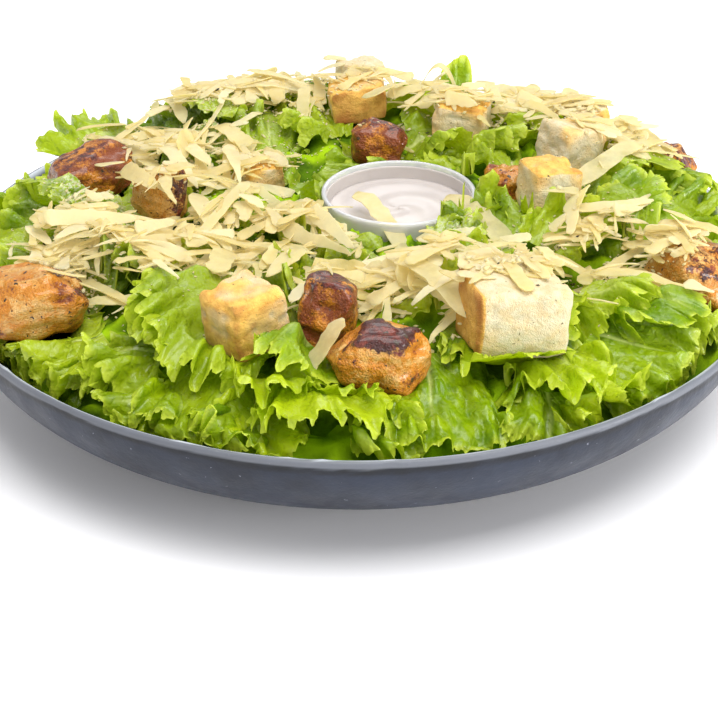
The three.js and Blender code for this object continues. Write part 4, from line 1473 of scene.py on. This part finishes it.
def scattered(drift, draw):
    """A seeded place in a drift, clear of the pot, the bare spots and the bowl's wall."""
    while True:
        reach = math.sqrt(-1.6 * math.log(max(draw(), 1e-4)))
        turn = draw() * 2 * math.pi
        x = drift["at"][0] + drift["spread"][0] * reach * math.cos(turn)
        y = drift["at"][1] + drift["spread"][1] * reach * math.sin(turn)
        from_pot = math.hypot(x - POT_X, y - POT_Y)
        bare = any(math.hypot(x - spot[0], y - spot[1]) < spot[2] for spot in BARE_SPOTS)
        in_bowl = math.hypot(x, y) < INNER_RADIUS - CHEESE_WALL_GAP
        if from_pot > POT_RADIUS + CHEESE_POT_GAP and in_bowl and not bare:
            return x, y


def make_cheese(skyline):
    """Shreds and shavings from short to long, strewn in drifts, then those placed one by one."""
    draw = seeded_draws(CHEESE_SEED)
    parts, strewn = [], []
    for drift in DRIFTS:
        for _ in range(int(drift["count"] * SHREDS_PER_SHAVING)):
            length, width = between(SHRED_LENGTH, draw()), between(SHRED_WIDTH, draw() ** 2)
            strewn.append((length, width, *scattered(drift, draw)))
        for _ in range(drift["count"]):
            x, y = scattered(drift, draw)
            room = min(math.hypot(x - POT_X, y - POT_Y) - POT_RADIUS,
                       INNER_RADIUS - math.hypot(x, y))
            length = min(between(SHAVING_LENGTH, draw() ** 1.3), 1.9 * room)
            strewn.append((length, between(SHAVING_WIDTH, draw() ** 1.5), x, y))
    for length, width, x, y in sorted(strewn):
        parts.append(lay_shaving(skyline, x, y, length, width, draw))
    for strip in TOP_SHAVINGS:
        parts.append(lay_shaving(skyline, *strip["at"], strip["length"],
                                 TOP_WIDTH_SHARE * strip["width"], draw, strip["heading"]))
    for strip in LEANING_SHAVINGS:
        parts.append(leaning_shaving(strip, draw))
    points, faces, values = joined(parts)
    points[:, 2] = under_ceiling(points[:, 2], RIM_HEIGHT + SHAVING_CEILING + CURL_ROOM)
    shavings = make_piece("cheese_shavings", points, faces, cheese_material(), [],
                          values)
    crease_strips(shavings)


def flake_mesh(middle, size, draw):
    """An uneven flat flake, as two low cones base to base."""
    turn = rotation(360 * draw(), 70 * (draw() - 0.5), 70 * (draw() - 0.5))
    angle = np.arange(FLAKE_SIDES) * 2 * math.pi / FLAKE_SIDES
    reach = size / 2 * np.array([0.6 + 0.7 * draw() for _ in angle])
    ring = np.stack([1.3 * reach * np.cos(angle), 0.8 * reach * np.sin(angle), 0 * angle], axis=1)
    tips = np.array([(0, 0, -0.22 * size), (0, 0, 0.22 * size)])
    after = (np.arange(FLAKE_SIDES) + 1) % FLAKE_SIDES
    low, high = FLAKE_SIDES, FLAKE_SIDES + 1
    faces = [(k, n, high) for k, n in enumerate(after)]
    faces += [(n, k, low) for k, n in enumerate(after)]
    points = np.concatenate([ring, tips]) @ turn.T + middle
    values = {"tone": np.full(len(points), 0.3 + 0.7 * draw()), "thin": np.full(len(points), 0.3)}
    return points, np.array(faces), values


def make_crumbs(skyline):
    """Fine grated cheese and cracked pepper on top of everything."""
    draw = seeded_draws(CRUMB_SEED)
    crumbs, pepper = [], []

    def on_top(area):
        x, y = scattered(area, draw)
        return x, y, float(skyline.at(np.array([x]), np.array([y]))[0])

    for drift in DRIFTS:
        for number in range(drift["count"] * CRUMBS_PER_SHAVING):
            size = between(CRUMB_SIZE, draw() ** 2)
            x, y, z = on_top(drift)
            crumbs.append(flake_mesh((x, y, z + 0.2 * size), size, draw))
            if number % CRUMBS_PER_PEPPER == 0:
                x, y, z = on_top(drift)
                pepper.append(flake_mesh((x, y, z + 0.2), between(PEPPER_SIZE, draw()), draw))
    for dust in DUSTINGS:
        for _ in range(dust["count"]):
            size = between(DUST_SIZE, draw())
            x, y, z = on_top(dust)
            crumbs.append(flake_mesh((x, y, z + 0.2 * size), size, draw))
    points, faces, values = joined(crumbs)
    make_piece("grated_cheese", points, faces, bpy.data.materials["shaved_cheese"],
               [], values)
    points, faces, values = joined(pepper)
    make_piece("cracked_pepper", points, faces, pepper_material(), [], values)


# Room

def make_floor():
    """Plain pale floor."""
    mesh = bpy.data.meshes.new("floor")
    half = FLOOR_SIDE / 2
    mesh.from_pydata([(-half, -half, 0), (half, -half, 0), (half, half, 0), (-half, half, 0)],
                     [], [(0, 1, 2, 3)])
    floor = add_object("floor", mesh)
    material, _, _ = new_material("white_floor", Roughness=0.9, Base_Color=(0.97, 0.965, 0.98, 1),
                                  Emission_Color=(1, 0.98, 1, 1), Emission_Strength=0.05)
    mesh.materials.append(material)
    floor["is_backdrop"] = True


def add_light(light):
    """A soft square white light aimed at the heap."""
    data = bpy.data.lights.new(light["name"], "AREA")
    data.energy = light["watts"]
    data.size = light["size"]
    lamp = add_object(light["name"], data)
    lamp.location = light["at"]
    aim = Vector((0, 0, RIM_HEIGHT * MM)) - lamp.location
    lamp.rotation_euler = aim.to_track_quat("-Z", "Y").to_euler()


def make_room():
    """White surroundings, a key light from above, and soft fills from the sides and behind."""
    world = bpy.data.worlds.new("white_room")
    world.use_nodes = True
    sky = world.node_tree.nodes["Background"].inputs
    sky["Color"].default_value = (1, 1, 1, 1)
    sky["Strength"].default_value = SURROUNDINGS_LIGHT
    bpy.context.scene.world = world
    make_floor()
    for light in LIGHTS:
        add_light(light)
    bpy.context.scene.view_settings.view_transform = "Standard"


def make_camera():
    """Camera at the diner's side, looking down on the bowl."""
    data = bpy.data.cameras.new("camera")
    data.lens = CAMERA_LENS
    data.clip_start = 0.01
    camera = add_object("camera", data)
    camera.location = Vector((
        CAMERA_SIDE,
        -CAMERA_DISTANCE * math.cos(CAMERA_ELEVATION),
        RIM_HEIGHT + CAMERA_DISTANCE * math.sin(CAMERA_ELEVATION))) * MM
    camera.rotation_euler = (math.pi / 2 - CAMERA_PITCH, 0, 0)
    bpy.context.scene.camera = camera


def chunk_meshes():
    """Points and faces of the large pieces, in millimetres, for things to lie on."""
    found = []
    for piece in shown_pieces():
        if piece.name.startswith(("bread_cube", "chicken_chunk")):
            points = np.zeros(len(piece.data.vertices) * 3)
            piece.data.vertices.foreach_get("co", points)
            faces = np.array([face.vertices for face in piece.data.polygons])
            found.append((points.reshape(-1, 3) / MM, faces))
    return found


make_camera()
make_room()
make_bowl()
make_pot()
make_dressing()
make_croutons()
make_chicken()
skyline = Skyline([make_core(), *make_leaves(), *chunk_meshes()])
make_cheese(skyline)
make_crumbs(skyline)
